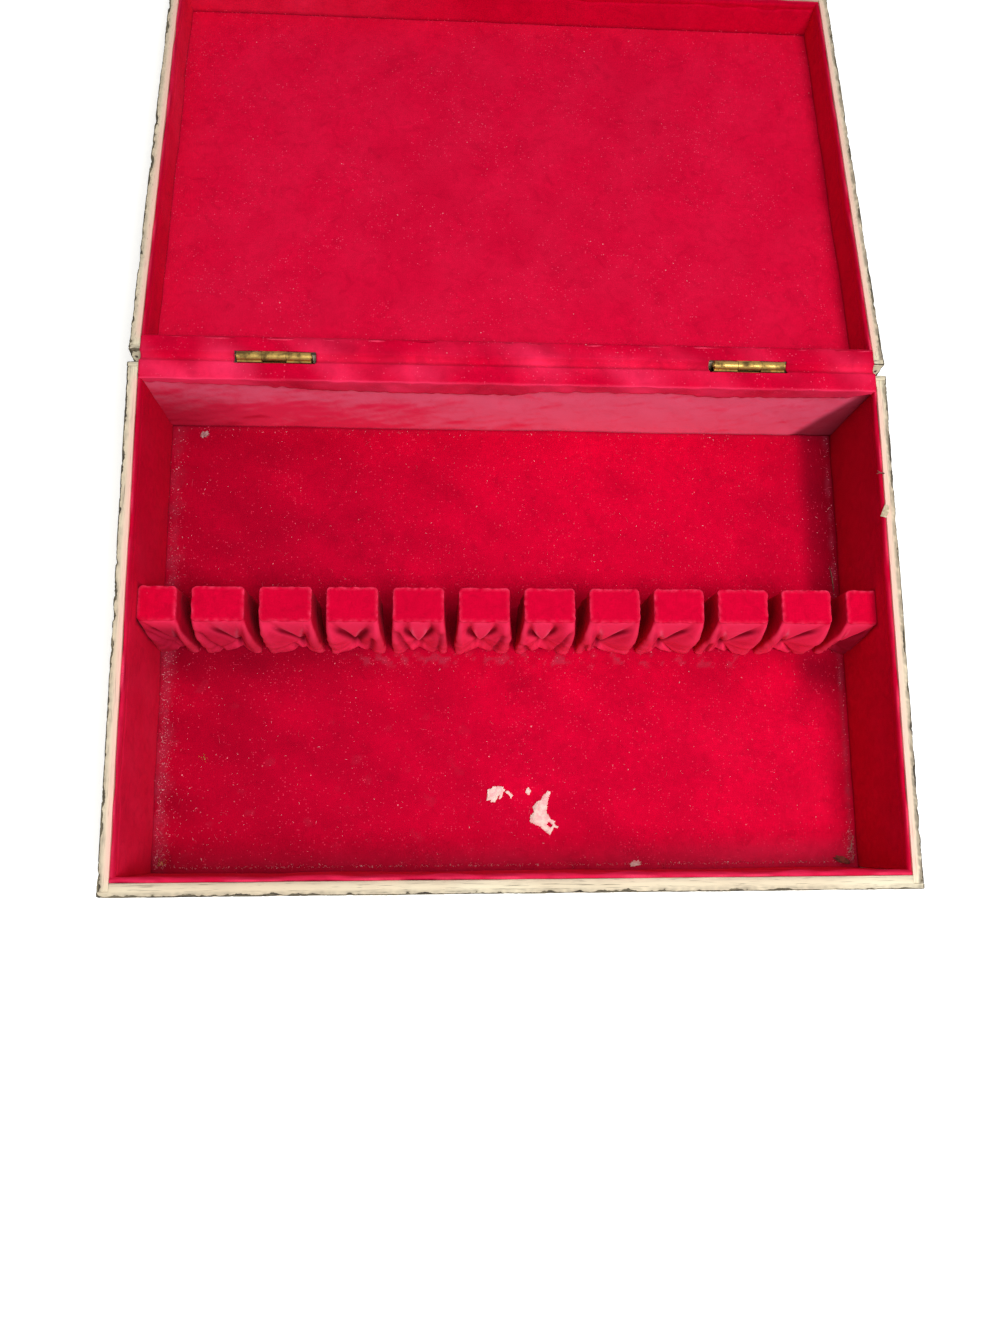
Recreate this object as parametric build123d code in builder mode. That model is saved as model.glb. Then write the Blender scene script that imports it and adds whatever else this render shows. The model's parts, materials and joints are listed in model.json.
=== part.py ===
from build123d import *

import os
from math import asin, atan2, cos, degrees, hypot, sin

# Antique cutlery chest: a shallow painted wooden box with a hinged lid. It is lined with velvet, and a
# rack of twelve velvet-wrapped blocks crosses the inside, where knives lie in the slots between them.
# X runs along the chest, Y from front to rear and Z up. The origin is the centre of the underside.
# The lid is modelled opened right over, with its far edge resting on the table that the chest stands on.
# Sizes are in millimetres, and angles in radians unless a name says otherwise.

# Chest and lid boards
case_width = 400.0
case_depth = 270.0
case_height = 70.0
lid_height = 30.0
end_wall = 5.6
long_wall = 7.0
bottom_board = 5.4
lid_board = 5.4
corner_lap = 4.0
arris = 0.8

# Gap between the rims when the lid is shut, and between the opened lid and the table
closing_gap = 1.6
table_gap = 0.2

# Cut brads that nail the boards together
brad_width = 1.4
brad_thickness = 1.8
brad_length = 19.0
case_corner_brad_count = 3
lid_corner_brad_count = 2
long_wall_brad_count = 4
end_wall_brad_count = 2
brad_margin = 34.0

# Velvet on card against the walls, and the velvet pads on the floor and under the lid
lining_card = 1.8
floor_pad = 2.0
lining_drop = 0.8
lining_gap = 0.1
lining_round = 0.6
hinge_strip = 0.6

# Knife rack
block_count = 12
rack_height = 46.4
rack_depth = 18.0
front_bay = 128.0
end_block = 17.2
notch_width = 8.3
rack_shift = 1.2
rack_end_gap = 0.2
velvet_wrap = 1.2
wrap_fit = 0.05
wrap_corner = 1.2
wrap_edge = 0.8
hem_flare = 5.2
rear_flare = 1.0
lobe_height = 38.0
lobe_top = 1.6
lobe_swell = 2.2
lobe_margin = 0.5
lobe_overlap = 0.6

# Brass butt hinges on the back of the chest. The inset runs from the chest's end to a hinge's middle.
hinge_length = 38.0
hinge_inset = 75.0
leaf_height = 15.0
leaf_thickness = 1.2
knuckle_radius = 2.3
knuckle_count = 3
knuckle_play = 0.2
knuckle_clearance = 0.3
back_gap = 0.9
pin_radius = 1.2
pin_clearance = 0.05
pin_end = 0.5

# Countersunk screws of the hinges. Their heads are as deep as a leaf is thick.
screws_per_leaf = 2
screw_radius = 1.0
screw_head_radius = 2.1
screw_cover = 1.6
slot_width = 0.5
slot_depth = 0.5

# Sizes that follow from those above
inner_width = case_width - 2 * end_wall
inner_depth = case_depth - 2 * long_wall
clear_width = inner_width - 2 * lining_card
case_wall_height = case_height - bottom_board
lid_wall_height = lid_height - lid_board
hinge_spacing = case_width - 2 * hinge_inset
relief = knuckle_radius + knuckle_clearance
hinge_axis_z = case_height + closing_gap / 2


def lean(offset):
    """How far past 180 degrees the lid lies when its far edge meets the table, for a hinge axis that
    stands this far behind the boards."""
    reach = case_depth + offset
    rise = closing_gap / 2 + lid_height
    return asin((hinge_axis_z - table_gap) / hypot(reach, rise)) - atan2(rise, reach)


# The axis stands far enough out for the lid's back to clear the chest's, and the knuckle the wood.
hinge_offset = max(lid_height * sin(lean(0)) / 2 + back_gap, knuckle_radius + knuckle_clearance)
lid_lean = lean(hinge_offset)
hinge_axis_y = case_depth / 2 + hinge_offset

# Planes of the two rims, facing out of the openings. The lid's is turned about the hinge axis.
case_rim = Plane.XY.offset(case_height)
lid_reach = case_depth / 2 + hinge_offset
lid_rim = Plane(
    origin=(
        0,
        hinge_axis_y + lid_reach * cos(lid_lean) - closing_gap / 2 * sin(lid_lean),
        hinge_axis_z - lid_reach * sin(lid_lean) - closing_gap / 2 * cos(lid_lean),
    ),
    x_dir=(1, 0, 0),
    z_dir=(0, sin(lid_lean), cos(lid_lean)),
)

os.makedirs("parts", exist_ok=True)


def save(piece, name):
    """Labels a finished piece and writes its file."""
    piece.part.label = name
    export_step(piece.part, f"parts/{name}.step")


def spread(count, reach):
    """Evenly spaced places from minus a reach to plus that reach."""
    return [reach * (2 * i / (count - 1) - 1) for i in range(count)]


# Boards


def long_board(rim, side, height, fasteners):
    """The front or back board of the chest or lid, rebated at both ends for the end boards."""
    across = Axis(rim.origin, rim.y_dir)
    up = Axis(rim.origin, rim.z_dir)
    with BuildPart() as board:
        with BuildSketch(rim.offset(-height)):
            with Locations((0, side * (case_depth - long_wall) / 2)):
                Rectangle(case_width, long_wall)
            rebate_x = (case_width - end_wall) / 2
            rebate_y = side * (case_depth / 2 - long_wall + corner_lap / 2)
            with Locations((-rebate_x, rebate_y), (rebate_x, rebate_y)):
                Rectangle(end_wall, corner_lap, mode=Mode.SUBTRACT)
        extrude(amount=height)
        outside = board.faces().sort_by(across)[-1 if side > 0 else 0]
        top_ends = board.faces().sort_by(up)[-1].edges().filter_by(across).sort_by(Axis.X)
        chamfer(outside.edges().sort_by(up)[1:] + [top_ends[0], top_ends[-1]], length=arris)
        for group in fasteners:
            add(group.part, mode=Mode.SUBTRACT)
    return board


def end_board(rim, side, height, fasteners):
    """The left or right board of the chest or lid, let into the rebates of the long boards."""
    up = Axis(rim.origin, rim.z_dir)
    with BuildPart() as board:
        with BuildSketch(rim.offset(-height)):
            with Locations((side * (case_width - end_wall) / 2, 0)):
                Rectangle(end_wall, case_depth - 2 * (long_wall - corner_lap))
        extrude(amount=height)
        outside = board.faces().sort_by(Axis.X)[-1 if side > 0 else 0]
        chamfer(outside.edges().sort_by(up)[-1], length=arris)
        for group in fasteners:
            add(group.part, mode=Mode.SUBTRACT)
    return board


def face_board(rim, height, thickness, fasteners):
    """The bottom of the chest or the top of the lid, nailed flat onto the edges of the four walls."""
    up = Axis(rim.origin, rim.z_dir)
    with BuildPart() as board:
        with BuildSketch(rim.offset(-height)):
            Rectangle(case_width, case_depth)
        extrude(amount=thickness)
        corners = board.edges().filter_by(up)
        chamfer(board.faces().sort_by(up)[0].edges() + corners, length=arris)
        for group in fasteners:
            add(group.part, mode=Mode.SUBTRACT)
    return board


def corner_brads(rim, height, per_corner):
    """Cut brads driven through the front and back boards into the ends of the end boards."""
    x = (case_width - end_wall) / 2
    levels = [height * (i + 0.5) / per_corner for i in range(per_corner)]
    with BuildPart() as brads:
        for side in (-1, 1):
            outside = Plane(
                origin=rim.origin + rim.y_dir * (side * case_depth / 2),
                x_dir=rim.x_dir,
                z_dir=rim.y_dir * side,
            )
            with BuildSketch(outside):
                with Locations([(end * x, side * level) for end in (-1, 1) for level in levels]):
                    Rectangle(brad_width, brad_thickness)
            extrude(amount=-brad_length)
    return brads


def face_brads(rim, height):
    """Cut brads driven through the flat board into the edges of the four walls."""
    long_y = (case_depth - long_wall) / 2
    end_x = (case_width - end_wall) / 2
    long_places = spread(long_wall_brad_count, case_width / 2 - brad_margin)
    end_places = spread(end_wall_brad_count, case_depth / 2 - brad_margin)
    along = [(x, y) for x in long_places for y in (-long_y, long_y)]
    ends = [(x, y) for x in (-end_x, end_x) for y in end_places]
    outside = Plane(origin=rim.origin - rim.z_dir * height, x_dir=rim.x_dir, z_dir=-rim.z_dir)
    with BuildPart() as brads:
        with BuildSketch(outside):
            with Locations(along):
                Rectangle(brad_thickness, brad_width)
            with Locations(ends):
                Rectangle(brad_width, brad_thickness)
        extrude(amount=-brad_length)
    return brads


# Hinges


def hinge_plane(x, rim):
    """A plane across the hinge axis at this x. Its first axis points from the axis to the back of the
    chest or lid that owns this rim, and its second away from the rim."""
    to_wall = Vector(0, -1, 0) if rim is case_rim else lid_rim.y_dir
    away = -rim.z_dir
    return Plane(origin=(x, hinge_axis_y, hinge_axis_z), x_dir=to_wall, z_dir=to_wall.cross(away))


def screw_rows(rim):
    """The planes of the leaves' outer faces on this rim's side, each facing out of the wood."""
    row = (relief + leaf_height) / 2
    planes = []
    for x in (-hinge_spacing / 2, hinge_spacing / 2):
        across = hinge_plane(x, rim)
        face = across.origin + across.x_dir * (hinge_offset - leaf_thickness) + across.y_dir * row
        planes.append(Plane(origin=face, x_dir=(1, 0, 0), z_dir=-across.x_dir))
    return planes


def screw_places():
    """Places of a leaf's screws along the hinge, from its middle."""
    pitch = hinge_length / screws_per_leaf
    return [(i + 0.5) * pitch - hinge_length / 2 for i in range(screws_per_leaf)]


def screw_blanks(rim):
    """The countersunk screws of two leaves, without their slots. They also cut their own holes."""
    length = leaf_thickness + long_wall - screw_cover
    with BuildPart() as blanks:
        for face in screw_rows(rim):
            for x in screw_places():
                middle = face.origin + face.x_dir * x
                half = Plane(origin=middle, x_dir=face.x_dir, z_dir=face.x_dir.cross(-face.z_dir))
                with BuildSketch(half):
                    with BuildLine():
                        Polyline(
                            (0, 0),
                            (screw_head_radius, 0),
                            (screw_radius, leaf_thickness),
                            (screw_radius, length),
                            (0, length),
                            close=True,
                        )
                    make_face()
                revolve(axis=Axis(middle, face.z_dir))
    return blanks


def slotted_screws(rim, blanks):
    """The same screws with a slot across each head."""
    with BuildPart() as screws:
        add(blanks.part)
        for face in screw_rows(rim):
            with BuildSketch(face):
                with Locations([(x, 0) for x in screw_places()]):
                    Rectangle(2 * screw_head_radius, slot_width)
            extrude(amount=-slot_depth, mode=Mode.SUBTRACT)
    return screws


def hinge_leaf(x, rim, first_knuckle, blanks):
    """One leaf of a butt hinge: a plate on the wood, carried on every other knuckle of the barrel."""
    across = hinge_plane(x, rim)
    pitch = hinge_length / knuckle_count
    starts = [-hinge_length / 2 + i * pitch for i in range(first_knuckle, knuckle_count, 2)]
    with BuildPart() as leaf:
        with BuildSketch(across):
            with Locations((hinge_offset - leaf_thickness, relief)):
                Rectangle(leaf_thickness, leaf_height - relief, align=Align.MIN)
        extrude(amount=hinge_length / 2, both=True)
        for start in starts:
            knuckle = across.offset(start + knuckle_play / 2)
            with BuildSketch(knuckle):
                with Locations((hinge_offset - leaf_thickness, 0)):
                    Rectangle(leaf_thickness, relief, align=Align.MIN)
                Rectangle(hinge_offset, leaf_thickness, align=Align.MIN)
                Circle(knuckle_radius)
                Circle(pin_radius + pin_clearance, mode=Mode.SUBTRACT)
            extrude(amount=pitch - knuckle_play)
        add(blanks.part, mode=Mode.SUBTRACT)
    return leaf


def hinge_pin(x):
    """The hinge's pin, with both ends bevelled."""
    with BuildPart() as pin:
        with BuildSketch(Plane(origin=(x, hinge_axis_y, hinge_axis_z), x_dir=(0, 1, 0), z_dir=(1, 0, 0))):
            Circle(pin_radius)
        extrude(amount=hinge_length / 2 + pin_end, both=True)
        chamfer(pin.edges().filter_by(GeomType.CIRCLE), length=pin_end / 2)
    return pin


# Linings


def long_lining(rim, side, pad_level, drop):
    """Velvet on card along the front or back wall, from the pad up to just under the rim."""
    height = pad_level - drop
    up = Axis(rim.origin, rim.z_dir)
    with BuildPart() as lining:
        with BuildSketch(rim.offset(-pad_level)):
            with Locations((0, side * (inner_depth - lining_card) / 2)):
                Rectangle(inner_width - 2 * lining_gap, lining_card)
        extrude(amount=height)
        chamfer(lining.faces().sort_by(up)[-1].edges().filter_by(Axis.X), length=lining_round)
    return lining


def end_lining(rim, side, pad_level, drop):
    """Velvet on card along an end wall, between the front and back linings."""
    height = pad_level - drop
    across = Axis(rim.origin, rim.y_dir)
    up = Axis(rim.origin, rim.z_dir)
    with BuildPart() as lining:
        with BuildSketch(rim.offset(-pad_level)):
            with Locations((side * (inner_width - lining_card) / 2, 0)):
                Rectangle(lining_card, inner_depth - 2 * (lining_card + lining_gap))
        extrude(amount=height)
        chamfer(lining.faces().sort_by(up)[-1].edges().filter_by(across), length=lining_round)
    return lining


def flat_pad(rim, board_level):
    """The velvet pad that covers the bottom of the chest or the inside of the lid's top."""
    with BuildPart() as pad:
        with BuildSketch(rim.offset(-board_level)):
            Rectangle(inner_width - 2 * lining_gap, inner_depth - 2 * lining_gap)
        extrude(amount=floor_pad)
    return pad


# Knife rack

rack_span = clear_width - 2 * rack_end_gap
block_width = (rack_span - 2 * end_block - (block_count - 1) * notch_width) / (block_count - 2)
block_pitch = block_width + notch_width
first_notch = -rack_span / 2 + end_block + rack_shift
rack_front = -inner_depth / 2 + lining_card + front_bay
rack_rear = rack_front + rack_depth
floor_level = bottom_board + floor_pad
rack_top = floor_level + rack_height


def block_span(i):
    """The left and right side of a block. The first and last reach to the end linings."""
    left = first_notch + (i - 1) * block_pitch + notch_width if i > 0 else -rack_span / 2
    right = first_notch + i * block_pitch if i < block_count - 1 else rack_span / 2
    return left, right


def rack_block(i):
    """The wooden core of a block, glued to the floor under its velvet."""
    left, right = block_span(i)
    with BuildPart() as block:
        with BuildSketch(Plane.XY.offset(floor_level)):
            with Locations(((left + right) / 2, (rack_front + rack_rear) / 2)):
                Rectangle(right - left - 2 * velvet_wrap, rack_depth - 2 * velvet_wrap)
        extrude(amount=rack_height - velvet_wrap)
    return block


def rack_cover(i):
    """The velvet round a block: flat on top, straight behind, and leaning out at the front, where it
    is gathered into two lobes that swell towards the floor, with a pinch between them. It is open
    underneath, where the block is glued down."""
    left, right = block_span(i)
    width = right - left
    middle = (left + right) / 2
    side = Plane(origin=(left, 0, floor_level), x_dir=(0, 1, 0), z_dir=(1, 0, 0))
    lobe_radius = width / 4 - lobe_margin + lobe_overlap / 2
    lobe_x = width / 4 + lobe_margin / 2 - lobe_overlap / 4
    lobe_y = rack_front - hem_flare - lobe_swell + lobe_radius
    lean_front = rack_front - hem_flare * (1 - lobe_height / rack_height)
    lobe_axis = Vector(0, lean_front + lobe_top - lobe_y, lobe_height)
    lobe_taper = (lobe_radius - lobe_top) / lobe_axis.length
    core_wrap = 2 * (velvet_wrap - wrap_fit)
    with BuildPart() as cover:
        with BuildSketch(side):
            with BuildLine():
                Polyline(
                    (rack_front - hem_flare, 0),
                    (rack_rear + rear_flare, 0),
                    (rack_rear, rack_height),
                    (rack_front, rack_height),
                    close=True,
                )
            make_face()
        extrude(amount=width)
        uprights = cover.edges().filter_by(lambda edge: abs(edge.tangent_at(0.5).Z) > 0.5)
        chamfer(uprights, length=wrap_corner)
        chamfer(cover.faces().sort_by(Axis.Z)[-1].edges(), length=wrap_edge)
        for x in (middle - lobe_x, middle + lobe_x):
            foot = Vector(x, lobe_y, floor_level) - lobe_axis.normalized() * lobe_radius
            with Locations(Plane(origin=foot, x_dir=(1, 0, 0), z_dir=lobe_axis)):
                Cone(
                    bottom_radius=lobe_radius * (1 + lobe_taper),
                    top_radius=lobe_top,
                    height=lobe_axis.length + lobe_radius,
                    align=(Align.CENTER, Align.CENTER, Align.MIN),
                )
        split(bisect_by=Plane.XY.offset(floor_level), keep=Keep.TOP)
        with BuildSketch(Plane.XY.offset(floor_level)):
            with Locations((middle, (rack_front + rack_rear) / 2)):
                Rectangle(width - core_wrap, rack_depth - core_wrap)
        extrude(amount=rack_height - velvet_wrap + wrap_fit, mode=Mode.SUBTRACT)
    return cover


def rim_velvet():
    """The strip of velvet on the back wall's rim, which goes on over the hinge line to the lid."""
    with BuildPart() as strip:
        with BuildSketch(case_rim):
            with Locations((0, case_depth / 2 - (long_wall + lining_card) / 2)):
                Rectangle(inner_width, long_wall + lining_card)
        extrude(amount=hinge_strip)
    return strip


# Chest

case_corner_brads = corner_brads(case_rim, case_wall_height, case_corner_brad_count)
case_bottom_brads = face_brads(case_rim, case_height)
case_fasteners = [case_corner_brads, case_bottom_brads]
case_screw_blanks = screw_blanks(case_rim)
case_pad_level = case_height - floor_level

save(long_board(case_rim, -1, case_wall_height, case_fasteners), "case_front")
save(long_board(case_rim, 1, case_wall_height, case_fasteners + [case_screw_blanks]), "case_back")
save(end_board(case_rim, -1, case_wall_height, case_fasteners), "case_left")
save(end_board(case_rim, 1, case_wall_height, case_fasteners), "case_right")
save(face_board(case_rim, case_height, bottom_board, [case_bottom_brads]), "case_bottom")
save(case_corner_brads, "case_corner_brads")
save(case_bottom_brads, "case_bottom_brads")
save(flat_pad(case_rim, case_wall_height), "lining_floor")
save(long_lining(case_rim, -1, case_pad_level, lining_drop), "lining_front")
save(long_lining(case_rim, 1, case_pad_level, 0), "lining_back")
save(end_lining(case_rim, -1, case_pad_level, lining_drop), "lining_left")
save(end_lining(case_rim, 1, case_pad_level, lining_drop), "lining_right")

save(rim_velvet(), "hinge_velvet")

for number in range(block_count):
    save(rack_block(number), f"rack_block_{number + 1:02d}")
    save(rack_cover(number), f"rack_cover_{number + 1:02d}")

# Lid. Its back is the board nearest the chest, because it lies opened right over.

lid_corner_brads = corner_brads(lid_rim, lid_wall_height, lid_corner_brad_count)
lid_top_brads = face_brads(lid_rim, lid_height)
lid_fasteners = [lid_corner_brads, lid_top_brads]
lid_screw_blanks = screw_blanks(lid_rim)
lid_pad_level = lid_wall_height - floor_pad

save(long_board(lid_rim, 1, lid_wall_height, lid_fasteners), "lid_front")
save(long_board(lid_rim, -1, lid_wall_height, lid_fasteners + [lid_screw_blanks]), "lid_back")
save(end_board(lid_rim, -1, lid_wall_height, lid_fasteners), "lid_left")
save(end_board(lid_rim, 1, lid_wall_height, lid_fasteners), "lid_right")
save(face_board(lid_rim, lid_height, lid_board, [lid_top_brads]), "lid_top")
save(lid_corner_brads, "lid_corner_brads")
save(lid_top_brads, "lid_top_brads")
save(flat_pad(lid_rim, lid_wall_height), "lid_lining_top")
save(long_lining(lid_rim, 1, lid_pad_level, lining_drop), "lid_lining_front")
save(long_lining(lid_rim, -1, lid_pad_level, 0), "lid_lining_back")
save(end_lining(lid_rim, -1, lid_pad_level, lining_drop), "lid_lining_left")
save(end_lining(lid_rim, 1, lid_pad_level, lining_drop), "lid_lining_right")

# Hinges. The chest's leaves own the outer knuckles, and hold the pins.

for name, x in (("hinge_left", -hinge_spacing / 2), ("hinge_right", hinge_spacing / 2)):
    save(hinge_leaf(x, case_rim, 0, case_screw_blanks), f"{name}_case_leaf")
    save(hinge_leaf(x, lid_rim, 1, lid_screw_blanks), f"{name}_lid_leaf")
    save(hinge_pin(x), f"{name}_pin")
save(slotted_screws(case_rim, case_screw_blanks), "hinge_case_screws")
save(slotted_screws(lid_rim, lid_screw_blanks), "hinge_lid_screws")

print("hinge axis y, z:", round(hinge_axis_y, 3), round(hinge_axis_z, 3))
print("lid opens past 180 degrees by:", round(degrees(lid_lean), 3))
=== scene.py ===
import functools
import json
import math

import bmesh
import bpy
import numpy as np
from mathutils import Euler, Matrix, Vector


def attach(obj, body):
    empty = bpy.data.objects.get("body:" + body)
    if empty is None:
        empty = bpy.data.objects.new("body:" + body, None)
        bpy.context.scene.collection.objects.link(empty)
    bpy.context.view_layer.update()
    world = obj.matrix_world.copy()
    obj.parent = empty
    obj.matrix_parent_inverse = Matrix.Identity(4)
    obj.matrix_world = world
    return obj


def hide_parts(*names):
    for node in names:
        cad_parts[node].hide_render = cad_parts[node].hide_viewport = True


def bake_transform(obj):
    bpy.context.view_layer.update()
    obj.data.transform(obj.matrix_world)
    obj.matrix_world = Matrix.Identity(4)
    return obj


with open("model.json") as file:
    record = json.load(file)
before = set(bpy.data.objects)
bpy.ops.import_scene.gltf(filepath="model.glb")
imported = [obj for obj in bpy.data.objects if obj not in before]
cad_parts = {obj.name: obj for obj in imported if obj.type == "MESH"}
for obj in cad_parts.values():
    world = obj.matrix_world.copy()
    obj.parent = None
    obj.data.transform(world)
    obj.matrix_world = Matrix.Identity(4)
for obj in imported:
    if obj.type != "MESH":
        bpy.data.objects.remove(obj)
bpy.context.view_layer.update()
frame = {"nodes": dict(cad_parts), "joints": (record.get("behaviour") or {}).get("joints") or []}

bl_info = {
    "name": "Antique cutlery chest",
    "version": (1, 0, 0),
    "blender": (4, 5, 0),
    "location": "3D View > Sidebar > Chest",
    "description": "Dresses a shallow painted chest with worn paint, velvet linings and a knife rack",
    "category": "Add Mesh",
}

# Points are worked out in millimetres and written to the meshes in metres.
MM = 0.001

# The lid's hinge. Lid pieces are shaped as if the lid were shut, and then turned to where it rests.
HINGE = frame["joints"][0]
PIVOT = np.array(HINGE["pos_m"]) / MM
OPENING = math.radians(max(HINGE["range_deg"]))

CASE, LID = "case", "lid"
X, Y, Z = np.eye(3)


# Reading the frame


def turned(points, angle):
    """Points turned about the hinge axis: y and z from the axis are rotated by the angle."""
    across, up = points[..., 1] - PIVOT[1], points[..., 2] - PIVOT[2]
    out = np.array(points, float)
    out[..., 1] = PIVOT[1] + across * math.cos(angle) - up * math.sin(angle)
    out[..., 2] = PIVOT[2] + across * math.sin(angle) + up * math.cos(angle)
    return out


def shut_box(node, body=CASE):
    """Lowest and highest corner of a CAD node in millimetres, with the lid shut."""
    mesh = frame["nodes"][node].data
    points = np.zeros(len(mesh.vertices) * 3, np.float32)
    mesh.vertices.foreach_get("co", points)
    points = points.reshape(-1, 3).astype(float) / MM
    if body == LID:
        points = turned(points, OPENING)
    return points.min(0), points.max(0)


# Arithmetic on whole arrays


def smooth(low, high, value):
    """The smooth step 3t^2 - 2t^3, where t is how far the value has come from low to high."""
    t = np.clip((value - low) / (high - low), 0, 1)
    return t * t * (3 - 2 * t)


def bump(value, width):
    """A bell of height 1 and this width: e to the power of minus (value / width) squared."""
    return np.exp(-((value / width) ** 2))


def ripples(points, length, seed, waves=14):
    """Smooth noise of about unit size: the sum of plane waves with seeded directions and phases, whose
    lengths spread round the given one."""
    chance = np.random.default_rng(seed)
    ways = chance.normal(size=(waves, points.shape[-1]))
    ways /= np.linalg.norm(ways, axis=1, keepdims=True)
    ways *= 2 * math.pi / (length * chance.uniform(0.6, 1.6, (waves, 1)))
    phases = chance.uniform(0, 2 * math.pi, waves)
    return np.cos(points @ ways.T + phases).sum(-1) / math.sqrt(waves / 2)


def levels(*runs):
    """Places along a line: each run is (start, end, step), and runs meet end to start."""
    parts = [np.linspace(a, b, max(2, round(abs(b - a) / step) + 1)) for a, b, step in runs]
    return np.concatenate([part[:-1] for part in parts] + [parts[-1][-1:]])


def quads(rows, columns, closed):
    """Corner numbers of a grid's squares, row by row. Closed joins the last column to the first."""
    number = np.arange(rows * columns).reshape(rows, columns)
    right = np.roll(number, -1, axis=1)
    squares = np.stack([number[:-1], right[:-1], right[1:], number[1:]], -1)
    if not closed:
        squares = squares[:, :-1]
    return squares.reshape(-1, 4)


# Making pieces


def make_piece(name, points, faces, marks=None, body=CASE, close=True):
    """A mesh object from points in millimetres. Marks are named numbers kept on its points, which the
    materials read. Close merges points that fall together and turns the faces outwards."""
    if body == LID:
        points = turned(points, -OPENING)
    mesh = bpy.data.meshes.new(name)
    faces = faces.tolist() if isinstance(faces, np.ndarray) else faces
    mesh.from_pydata((points * MM).tolist(), [], faces)
    for mark, values in (marks or {}).items():
        layer = mesh.attributes.new(mark, "FLOAT", "POINT")
        layer.data.foreach_set("value", np.asarray(values, np.float32).ravel())
    piece = bpy.data.objects.new(name, mesh)
    bpy.context.scene.collection.objects.link(piece)
    if close:
        work = bmesh.new()
        work.from_mesh(mesh)
        bmesh.ops.remove_doubles(work, verts=work.verts, dist=1e-6)
        bmesh.ops.dissolve_degenerate(work, edges=work.edges, dist=1e-7)
        bmesh.ops.recalc_face_normals(work, faces=work.faces)
        work.to_mesh(mesh)
        work.free()
    mesh.shade_smooth()
    return piece


def dress(piece, material, body, slot, *nodes):
    """Gives a piece its material, lets it ride on its body, and hides the nodes it stands for.
    The slot is not used.
    """
    piece.data.materials.append(material)
    if nodes:
        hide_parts(*nodes)
    if body:
        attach(piece, body)
    return piece


def thicken(piece, thickness, offset):
    """Gives a surface a thickness in metres: offset -1 puts it inside and 0 on both sides."""
    solid = piece.modifiers.new("Thickness", "SOLIDIFY")
    solid.thickness = thickness
    solid.offset = offset


def section(thick, high, radii, sides, step):
    """A rectangle with rounded corners, as points and outward directions, for a slab's cross-section.
    The first number runs through the thickness and the second up the height. Both long sides share the
    same levels, and each corner is a quarter circle. Radii are those of the outer top, inner top, inner
    base and outer base corner."""
    points, ways = [], []

    def add(through, up, way):
        """Adds a line of points that all face one way, or each its own."""
        line = np.stack(np.broadcast_arrays(through, up), -1)
        points.append(line)
        ways.append(np.broadcast_to(way, line.shape))

    def corner(number, through, up):
        """Adds a quarter circle about a middle point."""
        angles = math.pi / 2 * (number + np.linspace(0, 1, 5))
        way = np.stack([np.cos(angles), np.sin(angles)], -1)
        add(through + radii[number] * way[:, 0], up + radii[number] * way[:, 1], way)

    def inner_levels(start, stop):
        """Even levels along a short side, without its ends."""
        return levels((start, stop, step))[1:-1]

    add(thick, sides, (1.0, 0.0))
    corner(0, thick - radii[0], high - radii[0])
    add(inner_levels(thick - radii[0], radii[1]), high, (0.0, 1.0))
    corner(1, radii[1], high - radii[1])
    add(0.0, sides[::-1], (-1.0, 0.0))
    corner(2, radii[2], radii[2])
    add(inner_levels(radii[2], thick - radii[3]), 0.0, (0.0, -1.0))
    corner(3, thick - radii[3], radii[3])
    return np.concatenate(points), np.concatenate(ways)


def slab(thick, high, radii, sides, step, stations, end_round, rebate=(0.0, 0.0)):
    """A closed slab: a section carried along a straight length. At both ends it is rounded by a quarter
    circle, and rings draw in to the section's middle line. A rebate (length, depth) cuts the inner face
    back at both ends. Gives points as (along, through, up), their outward directions, and the faces."""
    outline, ways = section(thick, high, radii, sides, step)
    cut, depth = rebate
    length = stations[-1]
    turn = np.array([1.0, 0.6, 0.25, 0.0])
    inset = end_round * (1 - np.sqrt(1 - turn**2))
    run = end_round * (1 - turn)
    inner = stations[(stations > end_round) & (stations < length - end_round)]
    nick = 1e-3  # Two stations this far apart make a rebate's shoulder.
    if cut:
        inner = np.sort(np.concatenate([inner, [cut - nick, cut, length - cut, length - cut + nick]]))
    at = np.concatenate([run, inner, length - run[::-1]])
    draw = np.concatenate([inset, np.zeros(len(inner)), inset[::-1]])
    ring = outline[None] - ways[None] * draw[:, None, None]
    if cut:
        beyond = (at < cut - nick / 2) | (at > length - cut + nick / 2)
        ring[beyond, :, 0] = np.maximum(ring[beyond, :, 0], depth + draw[beyond, None])
    middle_x = np.where((at < cut) | (at > length - cut), (depth + thick) / 2, thick / 2)
    half = np.minimum(thick, high) / 2
    closing = []
    for index in (0, -1):
        middle_up = np.clip(ring[index, :, 1], half, high - half)
        middle = np.stack([np.full(len(outline), middle_x[index]), middle_up], -1)
        closing.append([middle + (ring[index] - middle) * share for share in (0.0, 0.5)])
    rings = np.concatenate([closing[0], ring, closing[1][::-1]])
    at = np.concatenate([[0, 0], at, [length, length]])
    points = np.concatenate([np.broadcast_to(at[:, None, None], rings.shape[:2] + (1,)), rings], -1)
    outward = np.zeros(points.shape)
    outward[..., 1:] = ways
    outward[:2] = -X
    outward[-2:] = X
    return points.reshape(-1, 3), outward.reshape(-1, 3), quads(*rings.shape[:2], True)


# Materials


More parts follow.
